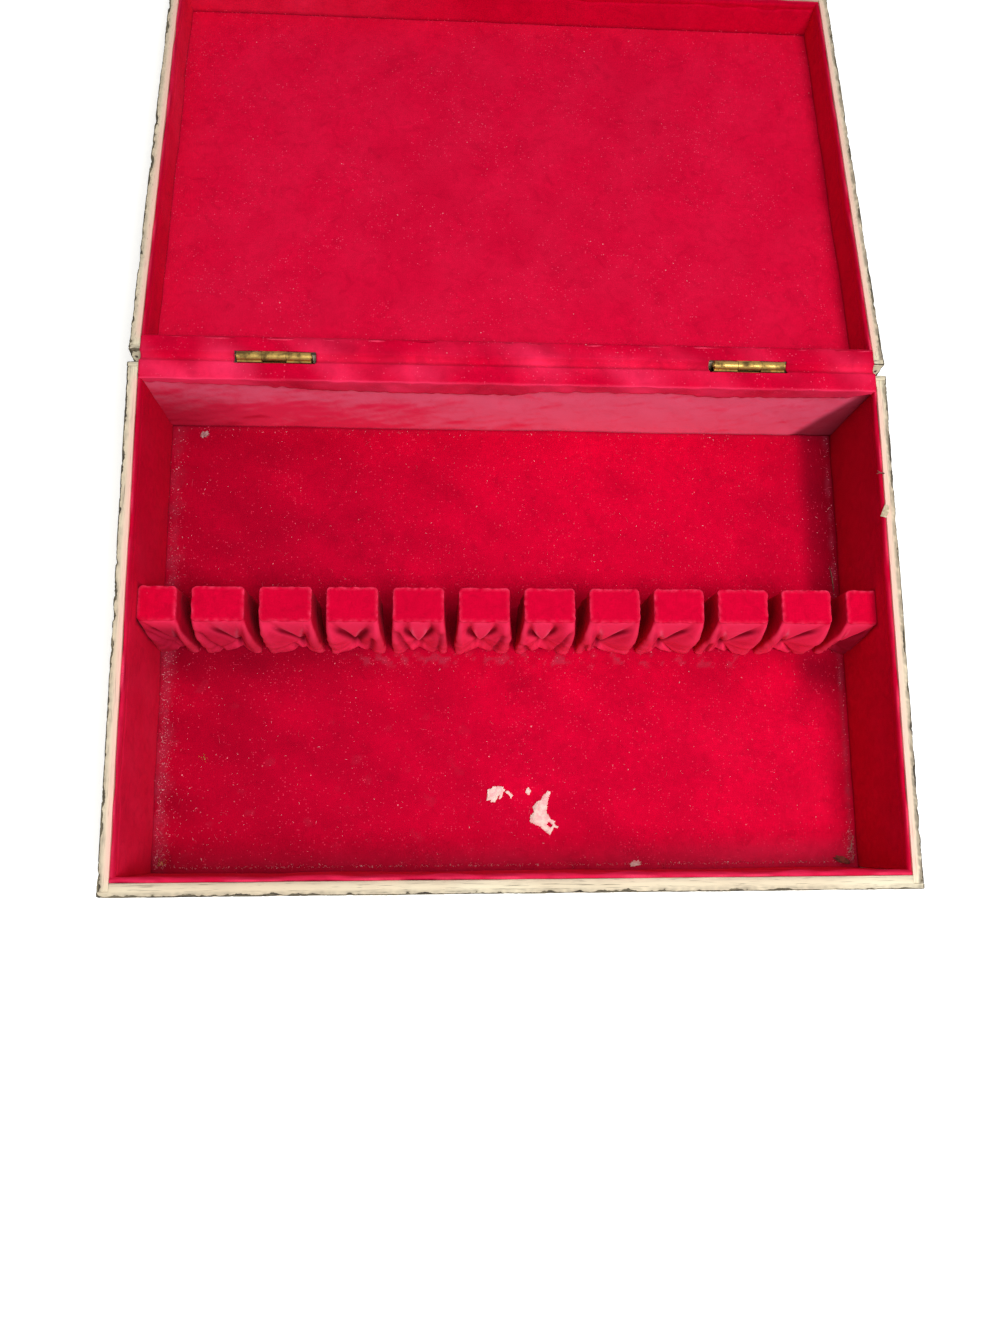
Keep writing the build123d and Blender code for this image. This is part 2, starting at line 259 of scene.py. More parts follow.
class Shading:
    """A material's node tree, built from short calls."""

    def __init__(self, name):
        self.material = bpy.data.materials.new(name)
        self.material.use_nodes = True
        self.tree = self.material.node_tree
        self.tree.nodes.clear()
        output = self.tree.nodes.new("ShaderNodeOutputMaterial")
        self.surface = self.tree.nodes.new("ShaderNodeBsdfPrincipled")
        self.tree.links.new(self.surface.outputs["BSDF"], output.inputs["Surface"])
        self.place = self.tree.nodes.new("ShaderNodeTexCoord").outputs["Object"]

    def put(self, socket, value):
        """A socket takes another node's output, or a plain value."""
        if isinstance(value, bpy.types.NodeSocket):
            self.tree.links.new(value, socket)
        elif hasattr(value, "__len__") and len(value) == 3 and socket.type == "RGBA":
            socket.default_value = (*value, 1)
        else:
            socket.default_value = value

    def node(self, kind, settings=None, **sockets):
        """A new node, with its settings and the values of its sockets."""
        made = self.tree.nodes.new(kind)
        for key, value in (settings or {}).items():
            setattr(made, key, value)
        for key, value in sockets.items():
            self.put(made.inputs[key], value)
        return made

    def mapped(self, scale):
        """Object coordinates stretched by three scales."""
        return self.node("ShaderNodeMapping", Vector=self.place, Scale=scale).outputs["Vector"]

    def noise(self, scale, detail=2.0, rough=0.5, vector=None, distortion=0.0):
        """Cloudy noise from 0 to 1 at the place, or at a stretched one."""
        made = self.node(
            "ShaderNodeTexNoise",
            Vector=self.place if vector is None else vector,
            Scale=scale,
            Detail=detail,
            Roughness=rough,
            Distortion=distortion,
        )
        return made.outputs["Fac"]

    def cells(self, scale):
        """Distance from scattered points, and chance numbers for each point's cell."""
        made = self.node("ShaderNodeTexVoronoi", Vector=self.place, Scale=scale)
        return made.outputs["Distance"], made.outputs["Color"]

    def mark(self, name):
        """A number kept on the piece's points."""
        return self.node("ShaderNodeAttribute", {"attribute_name": name}).outputs["Fac"]

    def sums(self, operation, first, second=0.0, third=0.0):
        """One step of arithmetic."""
        made = self.node("ShaderNodeMath", {"operation": operation})
        for socket, value in zip(made.inputs, (first, second, third)):
            self.put(socket, value)
        return made.outputs["Value"]

    def ramp(self, value, low, high, bottom=0.0, top=1.0):
        """A value eased from bottom to top as it goes from low to high."""
        made = self.node("ShaderNodeMapRange", {"interpolation_type": "SMOOTHSTEP"}, Value=value)
        for key, number in (("From Min", low), ("From Max", high), ("To Min", bottom), ("To Max", top)):
            self.put(made.inputs[key], number)
        return made.outputs["Result"]

    def mix(self, share, first, second):
        """A colour that goes from the first to the second by the share."""
        made = self.node("ShaderNodeMix", {"data_type": "RGBA"})
        self.put(made.inputs["Factor"], share)
        self.put(made.inputs["A"], first)
        self.put(made.inputs["B"], second)
        return made.outputs["Result"]

    def relief(self, height, distance, strength):
        """Fine relief: the surface's normals, tilted by the slope of the height."""
        made = self.node("ShaderNodeBump", Height=height, Distance=distance, Strength=strength)
        return made.outputs["Normal"]

    def finish(self, **sockets):
        """Sets the shader's own sockets, an underscore standing for a space, and gives the material."""
        for key, value in sockets.items():
            self.put(self.surface.inputs[key.replace("_", " ")], value)
        return self.material


def shared(build):
    """Lets a function that builds a material give the one of that name where it is there already."""

    @functools.wraps(build)
    def found_or_built(name, *values):
        return bpy.data.materials.get(name) or build(name, *values)

    return found_or_built


def scene_settings():
    """The sizes and colours that a user may change."""
    return bpy.context.scene.chest


@shared
def velvet(name):
    """Cotton velvet: crimson with soft patches and a faint weave. The mark 'nap' paints light on it, as
    the pile's sheen: first a bright highlight and then a rose sheen. The mark 'shade' paints shade on
    it; 'edge' paints a highlight along edges and folds; and 'dust' veils it in greyish rose and gathers
    lint in drifts, as fine pink specks and fewer pale ones."""
    s = Shading(name)
    looks = scene_settings()
    broad = s.noise(9.0, 3.0, 0.6)
    patches = s.noise(46.0, 4.0, 0.6, distortion=0.5)
    woven = s.sums(
        "ADD",
        s.noise(1.0, 2.0, 0.5, s.mapped((230.0, 1300.0, 1300.0))),
        s.noise(1.0, 2.0, 0.5, s.mapped((1300.0, 230.0, 230.0))),
    )
    pile = s.noise(1600.0, 2.0, 0.6)
    colour = s.mix(s.ramp(broad, 0.3, 0.7, 0.3, 1.0), looks.velvet_shade, looks.velvet)
    mottle = s.noise(240.0, 3.0, 0.65)
    colour = s.mix(s.ramp(patches, 0.38, 0.72, 0.0, 0.35), colour, looks.velvet_bright)
    crushed = s.noise(105.0, 4.0, 0.7, distortion=0.8)
    colour = s.mix(s.ramp(crushed, 0.50, 0.72, 0.0, 0.30), colour, looks.velvet_dark)
    colour = s.mix(s.ramp(mottle, 0.40, 0.68, 0.0, 0.6), colour, looks.velvet_shade)
    colour = s.mix(s.ramp(woven, 0.86, 1.2, 0.0, 0.42), colour, looks.velvet_shade)
    # Painted light: a painted highlight, and above half a painted rose sheen, for the pile's sheen.
    nap = s.sums("MULTIPLY", s.mark("nap"), s.ramp(crushed, 0.3, 0.7, 1.05, 0.85))
    colour = s.mix(s.ramp(nap, 0.0, 0.5), colour, looks.velvet_painted_highlight)
    colour = s.mix(s.ramp(nap, 0.5, 1.0), colour, looks.velvet_painted_sheen)
    # Painted shade and shadows.
    colour = s.mix(s.mark("shade"), colour, looks.velvet_dark)
    # Painted highlight along edges, folds and hems.
    rim = s.sums("MULTIPLY", s.mark("edge"), s.ramp(pile, 0.3, 0.6, 0.6, 1.0))
    colour = s.mix(rim, colour, looks.velvet_edge_highlight)
    dust = s.mark("dust")
    haze = s.sums("MULTIPLY", s.ramp(dust, 0.2, 1.0, 0.0, 0.46), s.ramp(mottle, 0.35, 0.6, 0.4, 1.0))
    colour = s.mix(haze, colour, looks.velvet_haze)
    drifts = s.ramp(s.noise(70.0, 3.0, 0.65), 0.38, 0.66, 0.3, 1.5)
    drifts = s.sums("MULTIPLY", drifts, s.ramp(dust, 0.01, 0.05))
    for scale, few, most, reach, strength, lint in (
        (860.0, 0.34, 0.90, 0.30, 0.85, looks.lint_pink),
        (420.0, 0.022, 0.55, 0.16, 0.95, looks.lint),
    ):
        distance, chance = s.cells(scale)
        parts = s.node("ShaderNodeSeparateColor", Color=chance).outputs
        share = s.sums("MULTIPLY", s.ramp(dust, 0.0, 1.0, few, most), drifts)
        here = s.sums("LESS_THAN", parts["Red"], share)
        size = s.sums("MULTIPLY_ADD", parts["Green"], reach, reach * 0.4)
        speck = s.sums("MULTIPLY", here, s.ramp(s.sums("SUBTRACT", size, distance), 0.0, reach * 0.5))
        strong = s.sums("MULTIPLY", speck, s.ramp(parts["Blue"], 0.0, 1.0, strength * 0.35, strength))
        colour = s.mix(strong, colour, lint)
    height = s.sums("MULTIPLY_ADD", pile, 0.8, s.sums("MULTIPLY", woven, 0.3))
    normal = s.relief(height, 0.0004, 0.4)
    return s.finish(
        Base_Color=colour,
        Normal=normal,
        Roughness=0.95,
        Specular_IOR_Level=0.02,
        Sheen_Weight=looks.sheen,
        Sheen_Roughness=0.35,
        Sheen_Tint=looks.sheen_tint,
    )


@shared
def paint(name, grain):
    """Chalky cream paint on old boards: brushed and cracked along the grain, tinted by age in broad
    patches, and gone at the worn arrises, where the mark 'bare' shows dark wood and dirt."""
    s = Shading(name)
    looks = scene_settings()
    along = s.mapped(grain)
    age = s.noise(11.0, 3.0, 0.6)
    grey = s.noise(38.0, 4.0, 0.65)
    streak = s.noise(1.0, 3.0, 0.6, along, distortion=0.3)
    hair = s.noise(3.2, 2.0, 0.55, along, distortion=0.55)
    grit = s.noise(900.0, 2.0, 0.6)
    colour = s.mix(s.ramp(age, 0.35, 0.65), looks.paint, looks.paint_aged)
    colour = s.mix(s.ramp(grey, 0.5, 0.8, 0.0, 0.35), colour, looks.paint_grey)
    colour = s.mix(s.ramp(streak, 0.52, 0.70, 0.0, 0.5), colour, looks.paint_grey)
    colour = s.mix(s.ramp(hair, 0.59, 0.69, 0.0, 0.75), colour, looks.paint_crack)
    # Painted pink bounce light from the velvet, on the rims beside it.
    colour = s.mix(s.mark("bounce_light"), colour, looks.paint_bounce_light)
    # Dirt, and on the long rims a painted shadow beside the velvet.
    grime_and_shadow = s.sums("MULTIPLY", s.mark("grime_and_shadow"), s.ramp(grey, 0.25, 0.6, 0.35, 1.0))
    colour = s.mix(grime_and_shadow, colour, looks.paint_crack)
    ragged = s.noise(420.0, 4.0, 0.7, distortion=0.5)
    lost = s.sums("ADD", s.mark("bare"), s.sums("MULTIPLY_ADD", ragged, 0.9, -0.45))
    gone = s.ramp(lost, 0.46, 0.56)
    wood = s.mix(s.ramp(streak, 0.35, 0.7), looks.bare_dark, looks.bare_light)
    colour = s.mix(gone, colour, wood)
    height = s.sums("MULTIPLY_ADD", streak, 0.5, s.sums("MULTIPLY", grit, 0.12))
    height = s.sums("SUBTRACT", height, s.sums("MULTIPLY", s.ramp(hair, 0.64, 0.76), 0.35))
    height = s.sums("SUBTRACT", height, s.sums("MULTIPLY", gone, 0.7))
    normal = s.relief(height, 0.0005, 0.8)
    rough = s.ramp(gone, 0.0, 1.0, 0.62, 0.85)
    return s.finish(Base_Color=colour, Normal=normal, Roughness=rough, Specular_IOR_Level=0.3)


@shared
def bare_wood(name, grain):
    """Plain softwood, with long grain and a little dust."""
    s = Shading(name)
    looks = scene_settings()
    rings = s.noise(1.0, 3.0, 0.6, s.mapped(grain), distortion=0.8)
    pores = s.noise(3.4, 2.0, 0.6, s.mapped(grain))
    colour = s.mix(s.ramp(rings, 0.3, 0.7), looks.wood_light, looks.wood_dark)
    colour = s.mix(s.ramp(pores, 0.55, 0.8, 0.0, 0.5), colour, looks.bare_dark)
    normal = s.relief(rings, 0.0003, 0.5)
    return s.finish(Base_Color=colour, Normal=normal, Roughness=s.ramp(pores, 0.3, 0.7, 0.6, 0.8))


@shared
def metal(name, clean, stained, roughness):
    """Old metal: patches of stain over a dull polish, with fine scratches."""
    s = Shading(name)
    stain = s.noise(140.0, 4.0, 0.65, distortion=0.4)
    scratches = s.noise(1.0, 2.0, 0.6, s.mapped((300.0, 2400.0, 2400.0)))
    colour = s.mix(s.ramp(stain, 0.42, 0.68), clean, stained)
    rough = s.ramp(stain, 0.35, 0.7, roughness, min(0.85, roughness + 0.3))
    normal = s.relief(s.sums("MULTIPLY_ADD", scratches, 0.4, stain), 0.00015, 0.6)
    return s.finish(Base_Color=colour, Normal=normal, Roughness=rough, Metallic=1.0)


@shared
def speck_finish(name, light, dark):
    """A small flake or fibre: two tones in patches, with a matt surface."""
    s = Shading(name)
    tone = s.noise(420.0, 3.0, 0.6)
    grit = s.noise(2200.0, 2.0, 0.6)
    colour = s.mix(s.ramp(tone, 0.35, 0.65), light, dark)
    rough = s.ramp(grit, 0.3, 0.7, 0.8, 0.95)
    return s.finish(Base_Color=colour, Normal=s.relief(grit, 0.0002, 0.5), Roughness=rough)


def colour_of(code):
    """A screen colour such as E0C8A0, as the linear numbers that shaders take."""
    part = np.array([int(code[i : i + 2], 16) for i in (0, 2, 4)]) / 255
    return tuple(np.where(part <= 0.04045, part / 12.92, ((part + 0.055) / 1.055) ** 2.4).tolist())


# Sizes and colours that a user would change


def tone(label, words, code):
    """A colour that a user may change, given as a screen colour."""
    return bpy.props.FloatVectorProperty(
        name=label, description=words, default=colour_of(code), subtype="COLOR", size=3, min=0, max=1
    )


def distance(label, words, value):
    """A length that a user may change, given in millimetres and kept in metres."""
    return bpy.props.FloatProperty(
        name=label, description=words, default=value * MM, min=0, soft_max=0.05, unit="LENGTH"
    )


def factor(label, words, value):
    """A share from 0 to 1 that a user may change."""
    return bpy.props.FloatProperty(
        name=label, description=words, default=value, min=0, max=1, subtype="FACTOR"
    )


def amount(label, words, value, unit="NONE"):
    """A number of this unit that a user may change."""
    return bpy.props.FloatProperty(name=label, description=words, default=value, min=0, unit=unit)


class ChestSettings(bpy.types.PropertyGroup):
    """Sizes and colours of the chest's dress."""

    velvet: tone("Velvet", "Velvet with its pile upright", "D80233")
    velvet_bright: tone("Bright velvet", "Patches where the pile catches the light", "E80338")
    velvet_shade: tone("Dull velvet", "Patches where the pile is pressed", "C4022C")
    # Also the colour of the velvet's painted shade and shadows, besides crushed patches.
    velvet_dark: tone("Dark velvet", "Velvet stained or flattened in the corners", "6E0218")
    # A painted highlight, where the velvet is painted as lit.
    velvet_painted_highlight: tone("Glowing velvet", "Velvet whose pile faces the light", "FF3464")
    velvet_haze: tone("Dusty velvet", "Velvet veiled by fine dust", "A43650")
    # A painted rose sheen, strongest on the back wall.
    velvet_painted_sheen: tone("Rubbed velvet", "Velvet whose pile lies over and looks rose", "FF6E94")
    # A painted highlight along edges, folds and hems.
    velvet_edge_highlight: tone("Velvet edge", "Pile standing open along a fold", "F03A60")
    lint: tone("Lint", "Lint and dust caught in the velvet", "F08C98")
    lint_pink: tone("Fine lint", "Fine lint caught in the velvet", "F04468")
    sheen: factor("Sheen", "Strength of the velvet's sheen", 0.03)
    sheen_tint: tone("Sheen tint", "Colour of the velvet's sheen", "FF8098")
    paint: tone("Paint", "Chalky cream paint", "E8DCBE")
    paint_aged: tone("Aged paint", "Paint yellowed by age", "DFCDAF")
    paint_grey: tone("Grey paint", "Paint rubbed thin along the grain", "C9BCA2")
    # Painted pink bounce light from the velvet, on the rims beside it.
    paint_bounce_light: tone("Paint beside the velvet", "Paint stained pink by the velvet's dye", "F0C0B0")
    # Also the colour of the painted shadow beside the velvet on the long rims.
    paint_crack: tone("Cracks", "Cracks and dirt in the paint", "7C7060")
    bare_dark: tone("Bare wood, dark", "Dirty wood where the paint is gone", "38302A")
    bare_light: tone("Bare wood, light", "Cleaner wood where the paint is gone", "80765F")
    wood_light: tone("Wood, light", "Softwood under the velvet", "C09A68")
    wood_dark: tone("Wood, dark", "Softwood's darker rings", "8E6A40")
    brass: tone("Brass", "Dull brass of the hinges", "A88A4C")
    brass_stain: tone("Brass stain", "Tarnish on the hinges", "5E4A2A")
    iron: tone("Iron", "Iron of the brads and screws", "6B6460")
    rust: tone("Rust", "Rust on the iron", "5A3A28")
    floor: tone("Table", "The pale surface that the chest stands on", "F2F2F0")
    wear: distance("Wear", "Depth of the deepest chips in the boards' arrises", 0.9)
    flare: distance("Flare", "How far the rack's velvet leans out at the floor", 5.2)
    swell: distance("Swell", "How far the rack's lobes swell beyond that", 3.0)
    flap: distance("Flap", "How far the folded flap's point stands off the rack's front", 6.0)
    cloth: distance("Cloth", "Thickness of the velvet on the rack and over the hinges", 0.6)
    # Painted sheen: how strongly the rack's front faces are painted as lit.
    front_painted_sheen: factor("Front nap", "How rose the rack's front faces look", 0.42)
    lens: amount("Lens", "Focal length of the camera", 26.8734, "CAMERA")
    key_power: amount("Key lamp", "Power of the lamp over the chest's right end", 10.6, "POWER")
    soft_power: amount("Soft lamp", "Power of the wide lamp overhead", 5.0, "POWER")
    sky: amount("Room light", "Strength of the light from all sides", 0.36)


# Boards

# The paint's and wood's pattern is stretched along the grain by these scales.
GRAIN_X, GRAIN_Y = (22.0, 900.0, 900.0), (900.0, 22.0, 900.0)

# How grey a rim's outer half is on the left end, the long sides and the right end.
GREYED = {-1: 0.36, 0: 0.34, 1: 1.0}

# Arrises that wear on the chest's and the lid's front and back, and on their top and bottom boards.
LONG_ARRISES = ("rim", "start", "end", "rim_start", "rim_end")
FLAT_ARRISES = ("rim", "base", "start", "end")
FLAT_STEPS = (2.4, 0.7, 5.0)


def axes_of(node, body, along, outward, rim):
    """A slab's corner and its three directions: along its length, out through its thickness and
    towards its rim, with its length, thickness and height."""
    low, high = shut_box(node, body)
    corner = np.where(along + outward + rim > 0, low, high)
    spans = high - low
    return corner, (along, outward, rim), [float(spans @ np.abs(way)) for way in (along, outward, rim)]


def put_down(points, corner, ways):
    """Points (along, through, up) of a slab, carried to its corner and directions."""
    return corner + points @ np.stack(ways)


def arris_wear(local, sizes, exposed):
    """Closeness, from 0 to 1, to the nearest exposed arris of a board, as a bell of the distance to it,
    and that distance. An arris is a line, and the distance to it is the root of two squared gaps."""
    length, thick, high = sizes
    along, through, up = local[:, 0], local[:, 1], local[:, 2]
    out = thick - through
    gaps = {
        "rim": np.hypot(out, high - up),
        "base": np.hypot(out, up),
        "start": np.hypot(out, along),
        "end": np.hypot(out, length - along),
        "rim_start": np.hypot(along, high - up),
        "rim_end": np.hypot(length - along, high - up),
    }
    nearest = np.min([gaps[key] for key in exposed], axis=0)
    return bump(nearest, 1.5), nearest


def painted_board(node, body, along, outward, rim, exposed, rebate=(0.0, 0.0), steps=(0.8, 0.5, 4.0)):
    """A board whose exposed arrises are rubbed round and chipped: points near them sink by noise that
    is cut off below a threshold, and its faces wave slightly. Steps are the spacing of its points along
    it, near its arrises and across its faces."""
    corner, ways, sizes = axes_of(node, body, along, outward, rim)
    length, thick, high = sizes
    pace, fine, coarse = steps
    half = min(thick, high) / 2
    band = min(9.0, high / 3)
    base_worn = "base" in exposed
    sides = levels(
        (half, band, fine if base_worn else coarse / 2),
        (band, high - band, coarse),
        (high - band, high - half, fine),
    )
    stations = levels((0, 4, 0.4), (4, length - 4, pace), (length - 4, length, 0.4))
    radii = (0.8, 0.3, 0.2, 0.8 if base_worn else 0.2)
    local, outwards, faces = slab(thick, high, radii, sides, fine, stations, 0.4, rebate)
    world = put_down(local, corner, ways)

    near, gap = arris_wear(local, sizes, exposed)
    rough = ripples(world, 3.4, 11) * 0.5 + ripples(world, 9.0, 12) * 0.6
    patchy = ripples(world, 46.0, 13)
    chips = np.clip(rough + 0.35 * patchy - 0.75, 0, 1.1)
    worn = np.clip(0.22 * ripples(world, 12.0, 17) + 0.08 * ripples(world, 1.9, 14), -0.05, 0.6)
    sunk = near * (0.12 + worn + scene_settings().wear / MM * chips)
    wave = 0.05 * ripples(world, 30.0, 15) - 0.07
    waved = np.where(np.abs(outwards[:, 0]) > 0.5, 0, wave)
    points = put_down(local + outwards * (waved - sunk)[:, None], corner, ways)

    end_board = along[1] > 0.5
    wear = (near, gap, rough, patchy, chips)
    marks = paint_marks(local, world, sizes, wear, GREYED[int(outward[0])], end_board)
    piece = make_piece(f"{node}_painted", points, faces, marks, body)
    grain = GRAIN_Y if end_board else GRAIN_X
    finish = paint("cream_paint_across" if end_board else "cream_paint_along", grain)
    return dress(piece, finish, body, "painted_wood", node)


def paint_marks(local, world, sizes, wear, greyed, end_board):
    """Where a board's paint is gone or dirty, and where light and shadow are painted on it. It is gone
    by a bell of the distance to the nearest arris, wider in streaks, and at the chips. The rim is grey
    on its outer half by a smooth step. Beside the velvet, by a bell, lies a painted pink bounce light
    from the velvet, strong on an end board and faint on a long one, and on a long one also a painted
    shadow of the velvet's edge."""
    near, gap, rough, patchy, chips = wear
    length, thick, high = sizes
    streaks = smooth(-0.3, 0.9, ripples(world, 34.0, 18) + 0.5 * ripples(world, 7.0, 19))
    rubbed = (1.05 if end_board else 0.88) + 0.3 * streaks
    bare = rubbed * bump(gap, 0.90 + 0.7 * streaks) + 0.5 * near * np.clip(chips, 0, 1)
    bare += bump(gap, 3.2) * 0.32 * np.clip(rough + 0.4 * patchy - 0.3, 0, 1.4)
    on_rim = smooth(high - 2.2, high - 0.6, local[:, 2])
    beside_velvet = bump(local[:, 1], 2.5 if end_board else 1.7) * on_rim
    outer_half = smooth(3.4, 1.6, thick - local[:, 1]) * on_rim
    grime_and_shadow = 0.12 * smooth(0.4, 1.6, patchy) + outer_half * greyed * (1 + 0.5 * rough)
    # On a long board, a painted shadow of the velvet's edge beside it.
    grime_and_shadow = np.clip(grime_and_shadow + beside_velvet * (0.0 if end_board else 0.46), 0, 0.85)
    inboard = smooth(0, 10, local[:, 0]) * smooth(0, 10, length - local[:, 0])
    # Painted pink bounce light from the velvet, strong on the end boards.
    bounce_light = beside_velvet * inboard * (1.0 if end_board else 0.15)
    return {"bare": bare, "grime_and_shadow": grime_and_shadow, "bounce_light": bounce_light}


def corner_rebate(end_board, long_board, body):
    """Length and depth of the rebate in which a long board takes the end board: the end board's
    thickness, and how far it reaches into the long one."""
    end_low, end_high = shut_box(end_board, body)
    long_high = shut_box(long_board, body)[1]
    return end_high[0] - end_low[0], long_high[1] - end_low[1]


class CHEST_OT_case_boards(bpy.types.Operator):
    """Builds the five painted boards of the chest, with worn arrises"""

    bl_idname = "chest.case_boards"
    bl_label = "Chest boards"

    def execute(self, context):
        rebate = corner_rebate("case_left", "case_front", CASE)
        painted_board("case_front", CASE, X, -Y, Z, LONG_ARRISES, rebate)
        painted_board("case_back", CASE, X, Y, Z, LONG_ARRISES, rebate)
        painted_board("case_left", CASE, Y, -X, Z, ("rim",))
        painted_board("case_right", CASE, Y, X, Z, ("rim",))
        painted_board("case_bottom", CASE, X, -Z, Y, FLAT_ARRISES, steps=FLAT_STEPS)
        return {"FINISHED"}


class CHEST_OT_lid_boards(bpy.types.Operator):
    """Builds the five painted boards of the lid, with worn arrises"""

    bl_idname = "chest.lid_boards"
    bl_label = "Lid boards"

    def execute(self, context):
        rebate = corner_rebate("lid_left", "lid_front", LID)
        steps = (1.1, 0.6, 4.0)
        painted_board("lid_front", LID, X, -Y, -Z, LONG_ARRISES, rebate, steps)
        painted_board("lid_back", LID, X, Y, -Z, LONG_ARRISES, rebate, steps)
        painted_board("lid_left", LID, Y, -X, -Z, ("rim",), steps=steps)
        painted_board("lid_right", LID, Y, X, -Z, ("rim",), steps=steps)
        painted_board("lid_top", LID, X, Z, Y, FLAT_ARRISES, steps=FLAT_STEPS)
        return {"FINISHED"}


# Linings


def beyond_rack(world):
    """How far points of an end wall lie outside the rack's end: the largest of the distances to its
    front, its rear and its top. Its front comes forward towards the floor by a power of the height
    left, as its velvet does."""
    low, high = shut_box("rack_block_01")
    down = np.clip((high[2] - world[:, 2]) / (high[2] - low[2]), 0, 1)
    front = low[1] - scene_settings().flare / MM * (1 - (1 - down) ** 2)
    return np.max([front - world[:, 1], world[:, 1] - high[1], world[:, 2] - high[2]], axis=0)


def wall_lining(node, body, along, outward, rim, nap, roll, shade=None, lift=0.3, press=0.0):
    """Velvet over card against a wall. Its face waves, and its top edge rolls over: the face comes
    forward by a bell centred under the edge, with a groove below, and the edge rises and falls. The
    rack's end presses it back, and painted shade lies on it there. Painted shade also lies along its
    foot and on its top edge, and by noise as a painted shadow line where the edge meets the board. A
    painted highlight runs along the top edge. The functions nap and shade give its painted sheen and
    painted shade from the place and the share of the height."""
    corner, ways, sizes = axes_of(node, body, along, outward, rim)
    length, thick, high = sizes
    sides = levels((thick / 2, high - 7, 1.6), (high - 7, high - thick / 2, 0.45))
    stations = levels((0, length, 1.5))
    local, _, faces = slab(thick, high, (0.85, 0.85, 0.2, 0.2), sides, 0.45, stations, 0.5)
    world = put_down(local, corner, ways)
    through, up = local[:, 1], local[:, 2]
    facing = smooth(0.25 * thick, 0.6 * thick, through)
    slow = ripples(world * (1, 1, 0.4), 60.0, 21)
    fine = ripples(world, 13.0, 22)
    edge_wave = ripples(world * (1, 1, 0), 21.0, 23)
    beyond = beyond_rack(world)
    forward = 0.16 * slow + 0.07 * fine
    forward += roll * (1 + 0.25 * edge_wave) * bump(up - (high - 1.7), 1.5)
    forward -= 0.35 * bump(up - (high - 4.6 - 0.5 * edge_wave), 0.7)
    forward -= press * smooth(1.2, -0.4, beyond)
    rise = smooth(high - 3.5, high - 0.5, up) * (lift + 0.20 * edge_wave + 0.14 * fine)
    points = put_down(local + np.stack([0 * up, facing * forward, rise], -1), corner, ways)

    crown = smooth(high - 1.3, high - 0.4, up)
    # Painted shade: a painted shadow line by noise where the top edge meets the board, shade at the foot, the
    # wall's painted shadows, a duller top edge, and the rack's painted shade where it presses in.
    gap_shadow = smooth(-0.4, 0.9, ripples(world, 70.0, 24)) * smooth(0.9, 0.3, through)
    dull = 0.6 * bump(up, 1.3) + (shade(world, up / high) if shade else 0)
    dull = np.maximum(dull * (1 - crown), (0.38 + 0.1 * fine) * crown)
    dull = np.maximum(dull, 0.9 * crown * gap_shadow)
    if press:
        dull = np.maximum(dull, 0.8 * smooth(4.6, 1.0, beyond))
    marks = {
        "nap": np.clip(nap(world, up / high), 0, 1),
        # A painted highlight along the top edge.
        "edge": np.clip(crown * smooth(1.5, 0.5, through) * (0.36 + 0.4 * fine), 0, 1),
        "dust": bump(up, 1.5) * 0.3,
        "shade": np.clip(dull, 0, 1),
    }
    piece = make_piece(f"{node}_velvet", points, faces, marks, body)
    dress(piece, velvet("crimson_velvet"), body, "velvet", node)


def flat_lining(node, body, outward, marks_of, pace):
    """The velvet on the bottom or under the lid's top: a thin pad that waves slightly by noise. Pace is
    the spacing of its points."""
    corner, ways, sizes = axes_of(node, body, X, outward, Y)
    length, thick, high = sizes
    sides = levels((thick / 2, high - thick / 2, pace))
    stations = levels((0, length, pace))
    local, _, faces = slab(thick, high, (0.6, 0.2, 0.2, 0.6), sides, 0.5, stations, 0.6)
    world = put_down(local, corner, ways)
    side_gap = np.min([local[:, 0], length - local[:, 0], local[:, 2], high - local[:, 2]], axis=0)
    top = smooth(thick * 0.4, thick * 0.8, local[:, 1])
    swell = 0.05 * ripples(world, 55.0, 31) + 0.035 * ripples(world, 12.0, 32) - 0.06
    points = put_down(local + Y * (top * swell)[:, None], corner, ways)
    piece = make_piece(f"{node}_velvet", points, faces, marks_of(world, side_gap), body)
    dress(piece, velvet("crimson_velvet"), body, "velvet", node)


